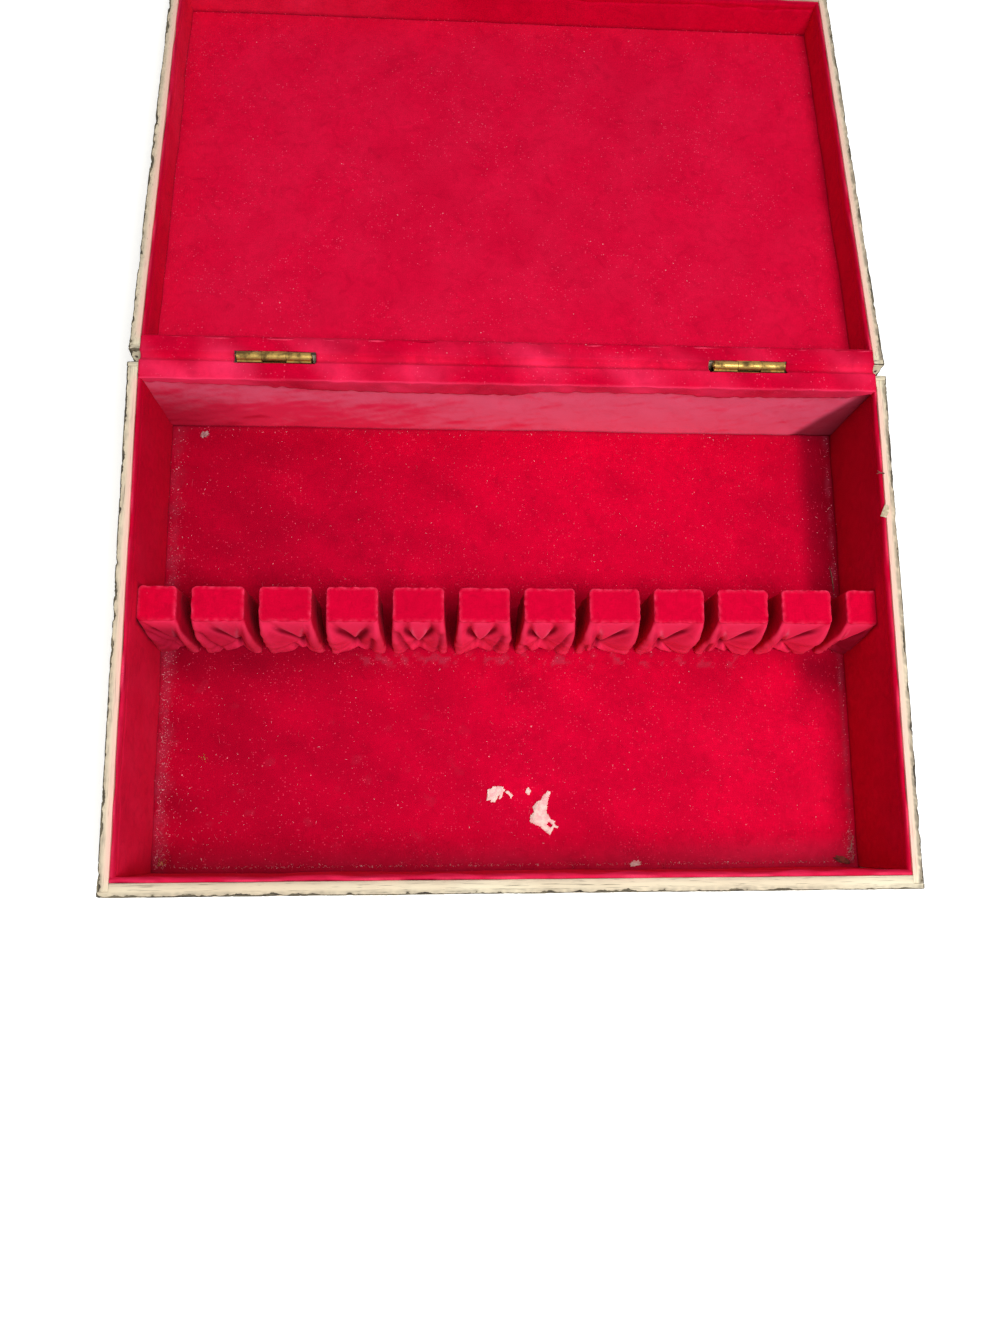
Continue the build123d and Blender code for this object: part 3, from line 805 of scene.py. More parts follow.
def floor_marks(world, side_gap):
    """Where the chest's floor is dusty, and where light and shade are painted on it. Dust gathers by
    bells along the walls, most on the left and at the front, and by noise in rubbed patches before the
    rack. Painted shade darkens it by smooth steps and bells: towards the left, at the front's middle,
    beside the right wall at the rear as that wall's shadow, before the rack's two ends as its shadow,
    and along its sides. A painted light lifts it towards the right front and along the front wall."""
    x, y = world[:, 0], world[:, 1]
    wander = ripples(world, 17.0, 33)
    left = bump(x + 189, 4.2 + 1.5 * wander) * (0.66 - 0.26 * smooth(0, 100, y))
    left += 0.22 * smooth(30, 0, x + 194)
    front = 1.2 * bump(y + 121.6, 1.0) * (0.8 + 0.25 * wander)
    right = bump(x - 190.0, 2.2) * (0.8 + 0.2 * wander)
    rear = bump(y - 124, 1.6) * 0.5
    patches = np.clip(ripples(world, 10.0, 38) + 0.4 * ripples(world, 3.5, 45), 0, 1.4)
    smears = bump(y + 10, 5) * smooth(-110, -70, x) * smooth(150, 120, x) * smooth(0.0, 0.8, patches)
    blotches = 0.50 * smooth(1.1, 2.2, ripples(world, 12.0, 44)) * smooth(60, -60, x) * smooth(-5, -20, y)
    middle = np.maximum(0.06 + 0.08 * np.clip(ripples(world, 48.0, 34), 0, 2), blotches)
    dust = np.clip(np.max([left, front, right, rear, middle, smears], axis=0), 0, 1)

    # Painted shade: darker to the left and at the front's middle, the right wall's painted shadow at the
    # rear, the rack's painted shadow before its ends, and shade along the sides.
    rear_half = smooth(10, 60, y)
    dull = 0.50 * smooth(60, -190, x) * rear_half + 0.42 * smooth(0, -190, x) * (1 - rear_half)
    dull += 0.16 * bump(x, 120) * (1 - rear_half)
    dull += 0.55 * smooth(168, 180, x) * smooth(5, 30, y) + 0.16 * smooth(90, 160, x) * smooth(20, 60, y)
    dull += 0.30 * bump(y + 8, 12) * smooth(-20, -110, x) + 0.22 * bump(y + 8, 14) * smooth(20, 120, x)
    dull += 0.62 * bump(y + 19, 15) * smooth(158, 174, x)
    dull += 0.05 * ripples(world, 30.0, 39) + (0.6 - 0.45 * smooth(-118, -122, y)) * bump(side_gap, 1.2)

    # Painted light: a faint sheen by noise and towards the right front, a little on the rubbed smears, and
    # more along the front wall, where it lifts that wall's shade.
    nap = 0.02 * np.clip(ripples(world, 40.0, 35), 0, 1) + 0.04 * smooth(60, 150, x) * smooth(0, -60, y)
    nap += 0.04 * smears + (0.16 + 0.04 * smooth(0, 140, x)) * smooth(-104, -124, y)
    return {"dust": dust, "shade": np.clip(dull, 0, 0.85), "nap": nap, "edge": np.zeros(len(x))}


def lid_floor_marks(world, side_gap):
    """Under the lid's top: dust by a bell at the walls, and a pile that lies over a little more here
    and there, by noise."""
    dust = np.clip(0.06 + 0.05 * ripples(world, 48.0, 36) + 0.4 * bump(side_gap, 2.0), 0, 1)
    nap = 0.08 + 0.03 * smooth(-1.5, 1.5, ripples(world, 30.0, 37))
    return {"dust": dust, "nap": nap, "shade": np.zeros(len(dust)), "edge": np.zeros(len(dust))}


def rear_painted_sheen(world, height):
    """A painted rose sheen on the back wall: weaker low down at the left, and in faint strokes along
    the wall."""
    low_left = smooth(40, -150, world[:, 0]) * smooth(0.95, 0.1, height)
    brushed = 0.06 * ripples(world * (0.5, 1, 1), 20.0, 41) + 0.07 * ripples(world * (0.3, 1, 1), 5.0, 46)
    return 1.0 - 0.55 * low_left + brushed


def rear_shade(world, height):
    """The side walls' shadows on the back wall: at the right a wedge, widest at the floor and gone at
    the rim, and at the left a soft one."""
    wedge = 0.8 * smooth(-3, 3, world[:, 0] - 190 + 21 * (1 - height))
    return np.maximum(wedge, 0.5 * smooth(-130, -190, world[:, 0]) * smooth(1.1, 0.3, height))


def side_painted_sheen(world, height):
    """A side wall gets only a faint painted sheen, and a painted light a little at the front left."""
    lit = 0.15 * smooth(100, -60, world[:, 1]) * smooth(0, -100, world[:, 0])
    return 0.02 + lit + 0.02 * ripples(world, 30.0, 42)


def front_painted_sheen(world, height):
    """A painted light on the front wall's velvet: a little, most along its upper part."""
    return 0.12 + 0.12 * smooth(0.3, 0.9, height) + 0.04 * ripples(world, 26.0, 43)


def left_shade(world, height):
    """The left wall darkens a little towards the rear, by a smooth step along it."""
    return 0.18 * smooth(-60, 120, world[:, 1])


def right_shade(world, height):
    """The right wall faces away from the lamp, and darkens towards the rear by a smooth step."""
    return 0.12 + 0.3 * smooth(0, 120, world[:, 1])


class CHEST_OT_case_linings(bpy.types.Operator):
    """Builds the velvet on the chest's floor and walls"""

    bl_idname = "chest.case_linings"
    bl_label = "Chest linings"

    def execute(self, context):
        flat_lining("lining_floor", CASE, Z, floor_marks, 2.1)
        wall_lining("lining_front", CASE, X, Y, Z, front_painted_sheen, 0.9, lift=0.95)
        wall_lining("lining_back", CASE, X, -Y, Z, rear_painted_sheen, 0.1, rear_shade, lift=-0.8)
        wall_lining("lining_left", CASE, Y, X, Z, side_painted_sheen, 0.35, left_shade, press=1.25)
        wall_lining("lining_right", CASE, Y, -X, Z, side_painted_sheen, 0.45, right_shade, press=1.6)
        return {"FINISHED"}


class CHEST_OT_lid_linings(bpy.types.Operator):
    """Builds the velvet inside the lid"""

    bl_idname = "chest.lid_linings"
    bl_label = "Lid linings"

    def execute(self, context):
        flat_lining("lid_lining_top", LID, -Z, lid_floor_marks, 3.2)
        wall_lining("lid_lining_front", LID, X, Y, -Z, side_painted_sheen, 0.5)
        wall_lining("lid_lining_back", LID, X, -Y, -Z, side_painted_sheen, 0.1)
        wall_lining("lid_lining_left", LID, Y, X, -Z, side_painted_sheen, 0.4)
        wall_lining("lid_lining_right", LID, Y, -X, -Z, side_painted_sheen, 0.4)
        return {"FINISHED"}


# Knife rack

BLOCKS = 12

# How each block's velvet is folded: where the flap comes to its point across the front (from -1 to 1)
# and down it (from 0 to 1), where the flap's two edges start along the top, and further valleys, each
# from one place (across, down) to another.
FOLDS = (
    (0.42, 0.72, -0.85, 1.00, ((-0.8, 0.25, 0.1, 0.95),)),
    (0.40, 0.84, -0.45, 0.97, ((-0.9, 0.12, -0.45, 1.0),)),
    (0.42, 0.78, -0.62, 0.92, ((-0.2, 0.72, 0.1, 1.0),)),
    (0.00, 0.77, -0.80, 0.70, ((0.75, 0.3, 0.5, 1.0),)),
    (-0.05, 0.70, -0.42, 0.46, ((-0.93, 0.1, -0.5, 1.0), (0.9, 0.15, 0.72, 1.0))),
    (-0.14, 0.62, -0.50, 0.42, ((0.85, 0.2, 0.5, 1.0),)),
    (-0.12, 0.60, -0.75, 0.15, ((0.95, 0.1, 0.5, 1.0), (-0.95, 0.5, -0.6, 1.0))),
    (-0.36, 0.84, -0.78, 0.85, ((-0.9, 0.5, -0.75, 1.0),)),
    (-0.32, 0.82, -0.97, 0.60, ((-0.2, 0.8, 0.4, 0.97),)),
    (-0.28, 0.80, -0.97, 0.88, ((-0.1, 0.8, 0.3, 1.0), (-0.9, 0.4, -0.7, 1.0))),
    (-0.34, 0.78, -0.92, 0.75, ((-0.15, 0.75, 0.4, 0.97),)),
    (-0.30, 0.80, -0.90, 0.98, ((-0.85, 0.3, -0.6, 1.0),)),
)


# How far the first and the last block's velvet reaches past the CAD's, to the left and to the right,
# where it presses the end walls' velvet back, and how far any other block's does, for its pile.
LEFT_REACH, RIGHT_REACH, PILE = {0: 1.0, BLOCKS - 1: -0.4}, {BLOCKS - 1: 1.5}, 0.35

# Thickness of the CAD's velvet, and the radii of a cover's upright corners and of its top edge.
WRAP, TURN, SOFT = 1.2, 2.3, 0.9

# A block's height and half its width, which set the directions of the folds round a flap's point.
BLOCK_HIGH, BLOCK_HALF = 46, 13

# How dark the lower fronts of the first blocks are, in the shadow of the left wall.
GLOOM = {0: 0.55, 1: 0.30, 2: 0.12}


def rack_front(u, v, number):
    """How far a block's front stands forward, for u across from -1 to 1 and v down from 0 to 1. At the
    corners the cloth stands out by 1 minus a power of the height left, so it rounds over early and then
    falls straight, but at the rack's two ends it leans out evenly. Two valleys run from the top to the
    flap's point, and meet there. Outside them each lobe rises to its corner as a quarter sine wave.
    Between them the flap slopes out evenly, and a narrow flap bows into a cup. The valleys of a wide
    flap deepen towards its point, and where that is near one side, the valley there is shallower.
    Under the point a bell hollows the cloth, less where the point is near one side, and narrower bells
    cut the further valleys."""
    looks = scene_settings()
    chance = np.random.default_rng(100 + number)
    point, tip, left, right, valleys = FOLDS[number]
    outer = {0: -u, BLOCKS - 1: u}.get(number, 0 * u)
    corner = (looks.flare + looks.swell) / MM * (1 - (1 - v) ** (4.2 - 2.7 * smooth(0.0, 1.0, outer)))
    t = np.clip(v / tip, 0, 1)
    narrow = float(smooth(1.5, 1.0, right - left))
    bow = (0.06 - 0.24 * narrow) * np.sin(math.pi * t)
    edge_left = left + (point - left) * t + bow
    edge_right = right + (point - right) * t - bow
    outer_left = np.clip((edge_left - u) / np.maximum(edge_left + 1, 0.05), 0, 1)
    outer_right = np.clip((u - edge_right) / np.maximum(1 - edge_right, 0.05), 0, 1)
    across = np.maximum(outer_left, outer_right)
    near = smooth(0.0, 0.3, (u - point) * np.sign(point)) * smooth(0.15, 0.3, abs(point))
    shallow = 0.38 * near + 0.30 * (1 - narrow) * (1 - t) ** 1.5
    low = corner * np.minimum(0.06 + shallow + 0.56 * smooth(tip, 1.0, v), 0.75)
    out = low + (corner - low) * np.sin(math.pi / 2 * across) ** (1.25 - 0.4 * v)
    inside = np.minimum(u - edge_left, edge_right - u)
    cushion = looks.flap / MM * t**0.75 * (1 - 0.16 * bump(v - tip, 0.2))
    out = np.where(inside > 0, low + (cushion - low) * smooth(-0.04, 0.30 - 0.10 * narrow, inside), out)
    turn = np.arctan2((v - tip) * BLOCK_HIGH, (u - point) * BLOCK_HALF)
    phase = chance.uniform(0, 2 * math.pi, 2)
    folds = 0.6 * np.cos(7 * turn + phase[0]) + 0.4 * np.cos(12 * turn + phase[1])
    away = smooth(0.0, 0.5, np.hypot((v - tip), (u - point) * 0.3))
    out += 0.42 * folds * away * smooth(0.08, 0.35, v)
    hollow = bump(u - point, 0.20) * bump(v - tip - 0.06, 0.11) * (1 - 0.6 * smooth(0.15, 0.3, abs(point)))
    out -= 0.8 * low * hollow
    cuts = np.zeros(u.shape)
    for u0, v0, u1, v1 in valleys:
        line = u0 + (u1 - u0) * (v - v0) / (v1 - v0)
        reach = smooth(v0, v0 + 0.2, v) * smooth(v1 + 0.12, v1 - 0.05, v)
        cuts = np.maximum(cuts, bump(u - line, 0.11) * reach)
    out -= 2.2 * cuts
    out += 0.9 * smooth(0.86, 1.0, v) * smooth(0.75, 1.0, np.abs(u))
    # Painted shade: dark lines along the flap's valleys, the hollow under its point, the further valleys, and
    # the last block's right lobe in painted shadow.
    line = bump(inside + 0.08, 0.13 - 0.04 * narrow) * smooth(0.05, 0.3, v) * smooth(tip + 0.25, tip, v)
    line *= 1 - 0.65 * near
    dark = np.maximum(np.maximum(hollow, line), 0.6 * cuts)
    dark = np.maximum(dark, 0.85 * (number == BLOCKS - 1) * smooth(0.0, 0.12, u - edge_right))
    # Painted light: the flap and the lobes' outer parts lit more, with painted highlights on the ridges
    # beside the valleys.
    lit = 0.82 + 0.45 * smooth(0.0, 0.2, inside) + 0.3 * smooth(0.55, 0.9, across) + 0.15 * folds
    lit += 0.8 * bump(inside - 0.16, 0.10) * smooth(0.06, 0.3, v) * smooth(tip + 0.1, tip - 0.1, v)
    lit += 0.5 * bump(inside + 0.24, 0.07) * smooth(0.1, 0.4, v)
    return np.maximum(out, 0.04 * v), dark, lit, across


def cover_plan(x0, x1, y0, y1):
    """A block's outline from above, from its front left round by the right: a rectangle whose corners
    are quarter circles. Gives its points, and for each the nearest point of the rectangle that lies
    inside it by the corners' radius."""
    inner = (x0 + TURN, y0 + TURN), (x1 - TURN, y1 - TURN)
    front = levels((x0 + TURN, x1 - TURN, 0.42))
    side = levels((y0 + TURN, y1 - TURN, 0.9))
    lines = (
        np.stack([front, np.full(len(front), y0)], -1),
        np.stack([np.full(len(side), x1), side], -1),
        np.stack([front[::-1], np.full(len(front), y1)], -1),
        np.stack([np.full(len(side), x0), side[::-1]], -1),
    )
    parts = []
    for number, line in enumerate(lines):
        angles = math.pi / 2 * (number - 1) + np.linspace(0, math.pi / 2, 7)[1:-1]
        centre = np.clip(line[-1], *inner)
        parts += [line, centre + TURN * np.stack([np.cos(angles), np.sin(angles)], -1)]
    plan = np.concatenate(parts)
    return plan, np.clip(plan, *inner)


def cover_crest(plan, hub, box, base, tall, number):
    """The rings over a block's top. The first follow a quarter circle round its edge and waver by
    noise. The next come in level to the hub, and the last draw in to the top's middle line, with a
    slight crown by noise."""
    x0, x1, y0, y1 = box
    way = (plan - hub) / TURN
    half = (y1 - y0) / 2
    angles = np.linspace(0, math.pi / 2, 5)[1:]
    insets = np.concatenate([SOFT * (1 - np.cos(angles)), SOFT + (TURN - SOFT) * np.array([0.5, 1.0])])
    heights = np.concatenate([tall - SOFT + SOFT * np.sin(angles), [tall, tall]])
    rings = [
        np.concatenate([plan - way * inset, np.full((len(plan), 1), base + height)], -1)
        for inset, height in zip(insets, heights)
    ]
    core = np.stack([np.clip(hub[:, 0], x0 + half, x1 - half), np.full(len(hub), (y0 + y1) / 2)], -1)
    for share in levels((0.12, 1.0, 0.11)):
        flat = hub + (core - hub) * share
        crown = 0.10 * ripples(flat, 9.0, 500 + number) * min(1.0, share * 3)
        rings.append(np.concatenate([flat, (base + tall + crown)[:, None]], -1))
    crest = np.array(rings)
    wander = 0.16 * ripples(crest[: len(angles)], 5.0, 600 + number)
    crest[: len(angles), :, :2] += way * wander[..., None]
    return crest


def cover_marks(grid, plan, v, dark, lit, box, number):
    """Where light and shade are painted on a block's velvet. Painted highlights run along the top edge,
    down the front corners and at the hem, by smooth steps and bells. The front's painted sheen
    follows its lit folds. Painted shade lies in the folds' valleys, in the notches between blocks, by
    a smooth step of the depth in from the front, and on the first blocks' lower fronts."""
    x0, x1, y0, y1 = box
    rows = len(v)
    back = plan[:, 1] - y0
    to_front = smooth(10.0, 0.0, back)

    # Painted highlights along the top edge, down the front corners and at the hem.
    fading = (0.7, 0.8, 0.7, 0.4, 0.15)
    past_fading = np.zeros(len(grid) - rows - len(fading))
    by_row = np.concatenate([smooth(0.03, 0.0, v[:, 0]) * 0.7, fading, past_fading])
    by_side = 0.75 - 0.25 * smooth(4.0, 0.0, back) + 0.25 * smooth((y1 - y0) * 0.7, y1 - y0, back)
    edge = by_row[:, None] * by_side * (0.75 + 0.4 * ripples(grid, 3.0, 700 + number))
    corner_gap = np.hypot(np.minimum(plan[:, 0] - x0, x1 - plan[:, 0]), back)
    lines = 0.85 * bump(corner_gap - 0.8, 0.7) * smooth(0.0, 0.1, v) * (1 - 0.8 * dark)
    lines += 0.8 * smooth(0.98, 1.0, v) * to_front
    edge[:rows] = np.maximum(edge[:rows], lines)

    # Painted sheen on the front from its lit folds, and painted shade in the valleys and notches.
    nap, shade = np.zeros((2, *grid.shape[:2]))
    nap[:rows] = scene_settings().front_painted_sheen * lit * smooth(2.5, 0.0, back) * smooth(-0.03, 0.02, v)
    beside_gap = np.abs(plan[:, 0] - (x0 + x1) / 2) > (x1 - x0) / 2 - TURN
    in_notch = 0.7 * smooth(1.5, 9.0, back) * beside_gap * smooth(0.02, 0.35, v)
    gloom = GLOOM.get(number, 0.0) * to_front * smooth(0.0, 0.3, v)
    shade[:rows] = np.max([0.9 * dark * to_front, gloom, in_notch], axis=0)
    dust = np.full(nap.shape, 0.012)
    return {"edge": np.clip(edge, 0, 1), "nap": nap, "shade": np.clip(shade, 0, 1), "dust": dust}


def rack_cover(number):
    """The velvet round one block, as rows from the hem up to the top edge and on over the top, and
    columns round the block. The front stands forward by its folds, the sides bulge towards the slots
    by 1 minus the cube of the height, and the rear leans out evenly. The front's hem arches up
    between its lobes by a square."""
    node, core = f"rack_cover_{number + 1:02d}", f"rack_block_{number + 1:02d}"
    low, high = shut_box(node)
    core_low, core_high = shut_box(core)
    x0 = core_low[0] - WRAP - LEFT_REACH.get(number, PILE)
    x1 = core_high[0] + WRAP + RIGHT_REACH.get(number, PILE)
    y0, y1 = core_low[1] - WRAP, core_high[1] + WRAP + PILE
    base, tall = low[2], high[2] - low[2]
    width, depth = x1 - x0, y1 - y0
    box = (x0, x1, y0, y1)

    plan, hub = cover_plan(*box)
    v = levels((1.0, 0.0, 0.6 / (tall - SOFT)))[:, None]
    u = np.clip((plan[:, 0] - (x0 + x1) / 2) / (width / 2), -1, 1)
    u, v = np.broadcast_arrays(u, v)
    out, dark, lit, across = rack_front(u, v, number)
    back = plan[:, 1] - y0
    to_front = smooth(10.0, 0.0, back)
    behind = smooth(depth * 0.6, depth, back)
    place = np.stack([plan[:, 0] + 0 * v, plan[:, 1] + 0 * v, base + tall * (1 - v)], -1)
    waves = ripples(place, 13.0, 300 + number)
    room = np.where(u > 0, float(number < BLOCKS - 1), float(number > 0))
    sideways = np.sign(u) * smooth(0.86, 1.0, np.abs(u)) * room
    bulge = 1.9 * (1 - (1 - v) ** 3) * smooth(13.0, 1.0, back) + 0.22 * waves * smooth(0, 0.3, v)
    uneven = 0.5 * np.clip(ripples(place[:, :, :2], 5.0, 400 + number), 0, 2)
    hem = 0.12 + (2.8 * (1 - across) ** 2 + uneven) * to_front * smooth(0.7, 1.0, v)
    sides = np.stack([
        place[:, :, 0] + sideways * bulge,
        place[:, :, 1] - out * to_front + behind * (0.9 * v + 0.12 * waves * v),
        base + (tall - SOFT) * (1 - v) + hem * v,
    ], -1)
    grid = np.concatenate([sides, cover_crest(plan, hub, box, base, tall, number)])
    marks = cover_marks(grid, plan, v, dark, lit, box, number)
    piece = make_piece(f"{node}_velvet", grid.reshape(-1, 3), quads(*grid.shape[:2], True), marks)
    looks = scene_settings()
    thicken(piece, looks.cloth, -1)
    dress(piece, velvet("crimson_velvet"), CASE, "velvet", node)


class CHEST_OT_rack_covers(bpy.types.Operator):
    """Builds the gathered velvet round the knife rack's twelve blocks"""

    bl_idname = "chest.rack_covers"
    bl_label = "Rack covers"

    def execute(self, context):
        for number in range(BLOCKS):
            rack_cover(number)
        return {"FINISHED"}


# Cloth over the hinge line

# Where the cloth's lower edge hangs on the back wall: places along the wall, and heights there.
HEM_X = (-192, -137, -100, -60, 2, 14, 85, 108, 180, 192)
HEM_Z = (66.5, 64.0, 60.0, 58.4, 58.0, 62.6, 63.2, 59.8, 62.2, 67.5)


def hinge_cloth():
    """One strip of velvet from the back wall's lining over the rims to the lid's lining. Its path
    across the rims is a chain of straight runs; in the gap between the boards it sags as a bell; and
    it is cut away round the two barrels."""
    strip_low, strip_high = shut_box("hinge_velvet")
    rim_z, back_y = shut_box("case_back")[1][2], shut_box("case_back")[1][1]
    face_y = shut_box("lining_back")[0][1]
    shut_rim, far_y = shut_box("lid_back", LID)[0][2], shut_box("lid_back", LID)[1][1]
    lid_back_y = 2 * PIVOT[1] - back_y

    down = levels((1.0, 0.0, 0.08))[:, None]
    over = levels((0.0, 1.0, 0.05))[:, None]
    x = levels((strip_low[0] + 0.6, strip_high[0] - 0.6, 1.2))
    hem = np.interp(x, HEM_X, HEM_Z) + 0.35 * ripples(x[:, None], 9.0, 51)
    lift = 0.35
    # Case side, in the rest pose: down the wall, round the lining's edge, and back over the rim.
    z = rim_z + (hem - rim_z) * down
    wide = np.broadcast_to(x, z.shape)
    stand = 0.45 + 0.35 * down + 0.12 * ripples(np.stack([wide, z], -1), 12.0, 52)
    wall = np.stack([wide, face_y - stand, z], -1)
    wide = np.broadcast_to(x, (len(over), len(x)))
    y = np.broadcast_to(face_y + (back_y - face_y) * over, wide.shape)
    z = rim_z + lift + 0.10 * ripples(np.stack([wide, y], -1), 16.0, 53) - 0.5 * (1 - over) ** 6
    rim = np.stack([wide, y, z], -1)
    # Lid side, worked out with the lid shut and turned to its rest.
    y = np.broadcast_to(far_y + (face_y - far_y) * over, wide.shape)
    z = shut_rim - lift + 0.08 * ripples(np.stack([wide, y], -1), 16.0, 54) + 0.5 * over**6
    lid_rim = turned(np.stack([wide, y, z], -1), -OPENING)
    up = down[::-1][1:]
    wide = np.broadcast_to(x, (len(up), len(x)))
    z = shut_rim + 7.0 * up + 0.4 * ripples(x[:, None], 14.0, 55) * up
    lid_wall = turned(np.stack([wide, np.full(wide.shape, face_y - 0.6), z], -1), -OPENING)
    # Across the gap, from the chest's back arris to the lid's, as a sagging fold: half a sine wave.
    share = levels((0.0, 1.0, 0.1))[1:-1, None]
    gap = rim[-1] + (lid_rim[0] - rim[-1]) * share[..., None]
    gap[..., 2] -= 2.5 * np.sin(math.pi * share) ** 0.8
    grid = np.concatenate([wall, rim, gap, lid_rim, lid_wall])
    points, faces = grid.reshape(-1, 3), quads(*grid.shape[:2], False)
    centre = points[faces].mean(1)
    keep = np.ones(len(faces), bool)
    for barrel in ("hinge_left_pin", "hinge_right_pin"):
        low, high = shut_box(barrel)
        across = (centre[:, 0] > low[0] - 1.5) & (centre[:, 0] < high[0] + 1.5)
        in_gap = (centre[:, 1] > back_y - 0.4) & (centre[:, 1] < lid_back_y + 0.4)
        keep &= ~(across & in_gap)
    row = np.repeat(np.arange(grid.shape[0]), grid.shape[1])
    # Painted highlights along the hem and the lining's edge, a painted rose sheen on the wall part, and a
    # little shade by noise.
    marks = {
        "edge": 0.55 * (row == 0) + 0.3 * bump(points[:, 1] - face_y + 0.3, 0.5),
        "nap": np.clip(0.10 + 0.24 * (row < len(wall)) + 0.10 * ripples(points, 30.0, 56), 0, 0.6),
        "shade": np.clip(0.10 + 0.08 * ripples(points, 18.0, 57), 0, 0.4),
        "dust": np.full(len(points), 0.04),
    }
    piece = make_piece("hinge_cloth", points, faces[keep], marks, close=False)
    thicken(piece, scene_settings().cloth, 0)
    dress(piece, velvet("crimson_velvet"), None, "velvet", "hinge_velvet")
    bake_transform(piece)


class CHEST_OT_hinge_cloth(bpy.types.Operator):
    """Builds the strip of velvet that covers the hinge line"""

    bl_idname = "chest.hinge_cloth"
    bl_label = "Hinge cloth"

    def execute(self, context):
        hinge_cloth()
        return {"FINISHED"}


# Hardware and cores, which keep their CAD shapes


def repaint(start, parts, material):
    """Gives a finish to the CAD nodes whose names start like this and hold one of the parts."""
    for name in sorted(frame["nodes"]):
        if name.startswith(start) and any(part in name for part in parts):
            piece = frame["nodes"][name]
            piece.data.materials.clear()
            piece.data.materials.append(material)


class CHEST_OT_hardware(bpy.types.Operator):
    """Gives the hinges, screws, brads and the rack's wooden cores their finishes"""

    bl_idname = "chest.hardware"
    bl_label = "Hardware"

    def execute(self, context):
        looks = scene_settings()
        brass = metal("dull_brass", looks.brass, looks.brass_stain, 0.36)
        iron = metal("old_iron", looks.iron, looks.rust, 0.5)
        repaint("hinge_", ("leaf", "pin"), brass)
        repaint("", ("brads", "screws"), iron)
        repaint("rack_block", ("",), bare_wood("rack_softwood", GRAIN_X))
        return {"FINISHED"}


# Litter: lint, flakes and crumbs that lie in the chest


# Light and dark tone of each kind of litter.
LITTER_TONES = {
    "pale_scrap": ("F4D8CC", "F2B4B4"),
    "pink_lint": ("E8506E", "DC3054"),
    "pale_lint": ("F6B4BC", "EA6C86"),
    "straw_crumb": ("D9A860", "A8703A"),
    "brown_chip": ("9A4A3C", "5A2E28"),
    "paint_chip": ("E6D6B8", "B5A385"),
    "dark_thread": ("4A3030", "8A6A5A"),
    "grey_chip": ("B08A8A", "8A6060"),
}


def litter_finish(kind):
    """The finish of one kind of litter, from its two tones."""
    light, dark = LITTER_TONES[kind]
    return speck_finish(kind, colour_of(light), colour_of(dark))


def flake(name, middle, size, turn, seed, lift, thick, finish):
    """A torn flat scrap: its outline is an ellipse whose radius varies by waves round it, its upper
    face curls up by the square of the distance from its middle, and its rim closes to its underside."""
    around, rings = 72, 9
    angle = np.linspace(0, 2 * math.pi, around, endpoint=False)
    circle = np.stack([np.cos(angle), np.sin(angle)], -1)
    ragged = 1 + 0.16 * ripples(circle, 0.9, seed) + 0.07 * ripples(circle, 0.25, seed + 1)
    share = np.linspace(0, 1, rings)
    flat = share[:, None, None] * (circle * ragged[:, None])[None] * np.array(size) / 2
    cos, sin = math.cos(turn), math.sin(turn)
    flat = flat @ np.array([[cos, sin], [-sin, cos]])
    wave = 0.10 * ripples(flat, max(size) / 3, seed + 2)
    curl = 1 + 0.6 * ripples(flat, max(size) / 2, seed + 3)
    height = lift * share[:, None] ** 2 * curl + wave * 0.6
    height = np.maximum(height, 0.02)
    upper = np.concatenate([flat, (height + thick)[:, :, None]], -1)
    lower = np.concatenate([flat, height[:, :, None]], -1)[::-1]
    grid = np.concatenate([upper, lower]) + np.array(middle)
    piece = make_piece(name, grid.reshape(-1, 3), quads(2 * rings, around, True))
    return dress(piece, finish, CASE, "velvet")


def torn(name, outlines, level, seed, finish):
    """A torn scrap of paper: traced outlines, set out evenly along their length and roughened by noise,
    filled in and given a thickness. Its height waves by noise."""
    rings, edges, first = [], [], 0
    for outline in outlines:
        corners = np.array(outline + outline[:1])
        run = np.concatenate([[0], np.cumsum(np.linalg.norm(np.diff(corners, axis=0), axis=1))])
        at = np.arange(0, run[-1] - 0.15, 0.3)
        ring = np.stack([np.interp(at, run, corners[:, axis]) for axis in (0, 1)], -1)
        ring += 0.10 * np.stack([ripples(ring, 0.9, seed + axis) for axis in (0, 1)], -1)
        height = level + 0.45 + 0.22 * ripples(ring, 9.0, seed + 2)
        number = np.arange(len(ring))
        rings.append(np.column_stack([ring, height]))
        edges.append(first + np.stack([number, np.roll(number, -1)], -1))
        first += len(ring)
    mesh = bpy.data.meshes.new(name)
    mesh.from_pydata(np.concatenate(rings).tolist(), np.concatenate(edges).tolist(), [])
    work = bmesh.new()
    work.from_mesh(mesh)
    bmesh.ops.triangle_fill(work, use_beauty=True, edges=work.edges)
    work.to_mesh(mesh)
    work.free()
    points = np.zeros(len(mesh.vertices) * 3, np.float32)
    mesh.vertices.foreach_get("co", points)
    faces = np.zeros(len(mesh.loops), np.int32)
    mesh.loops.foreach_get("vertex_index", faces)
    bpy.data.meshes.remove(mesh)
    points, faces = points.reshape(-1, 3).astype(float), faces.reshape(-1, 3)
    piece = make_piece(name, points, faces)
    thicken(piece, 0.25 * MM, -1)
    return dress(piece, finish, CASE, "velvet")


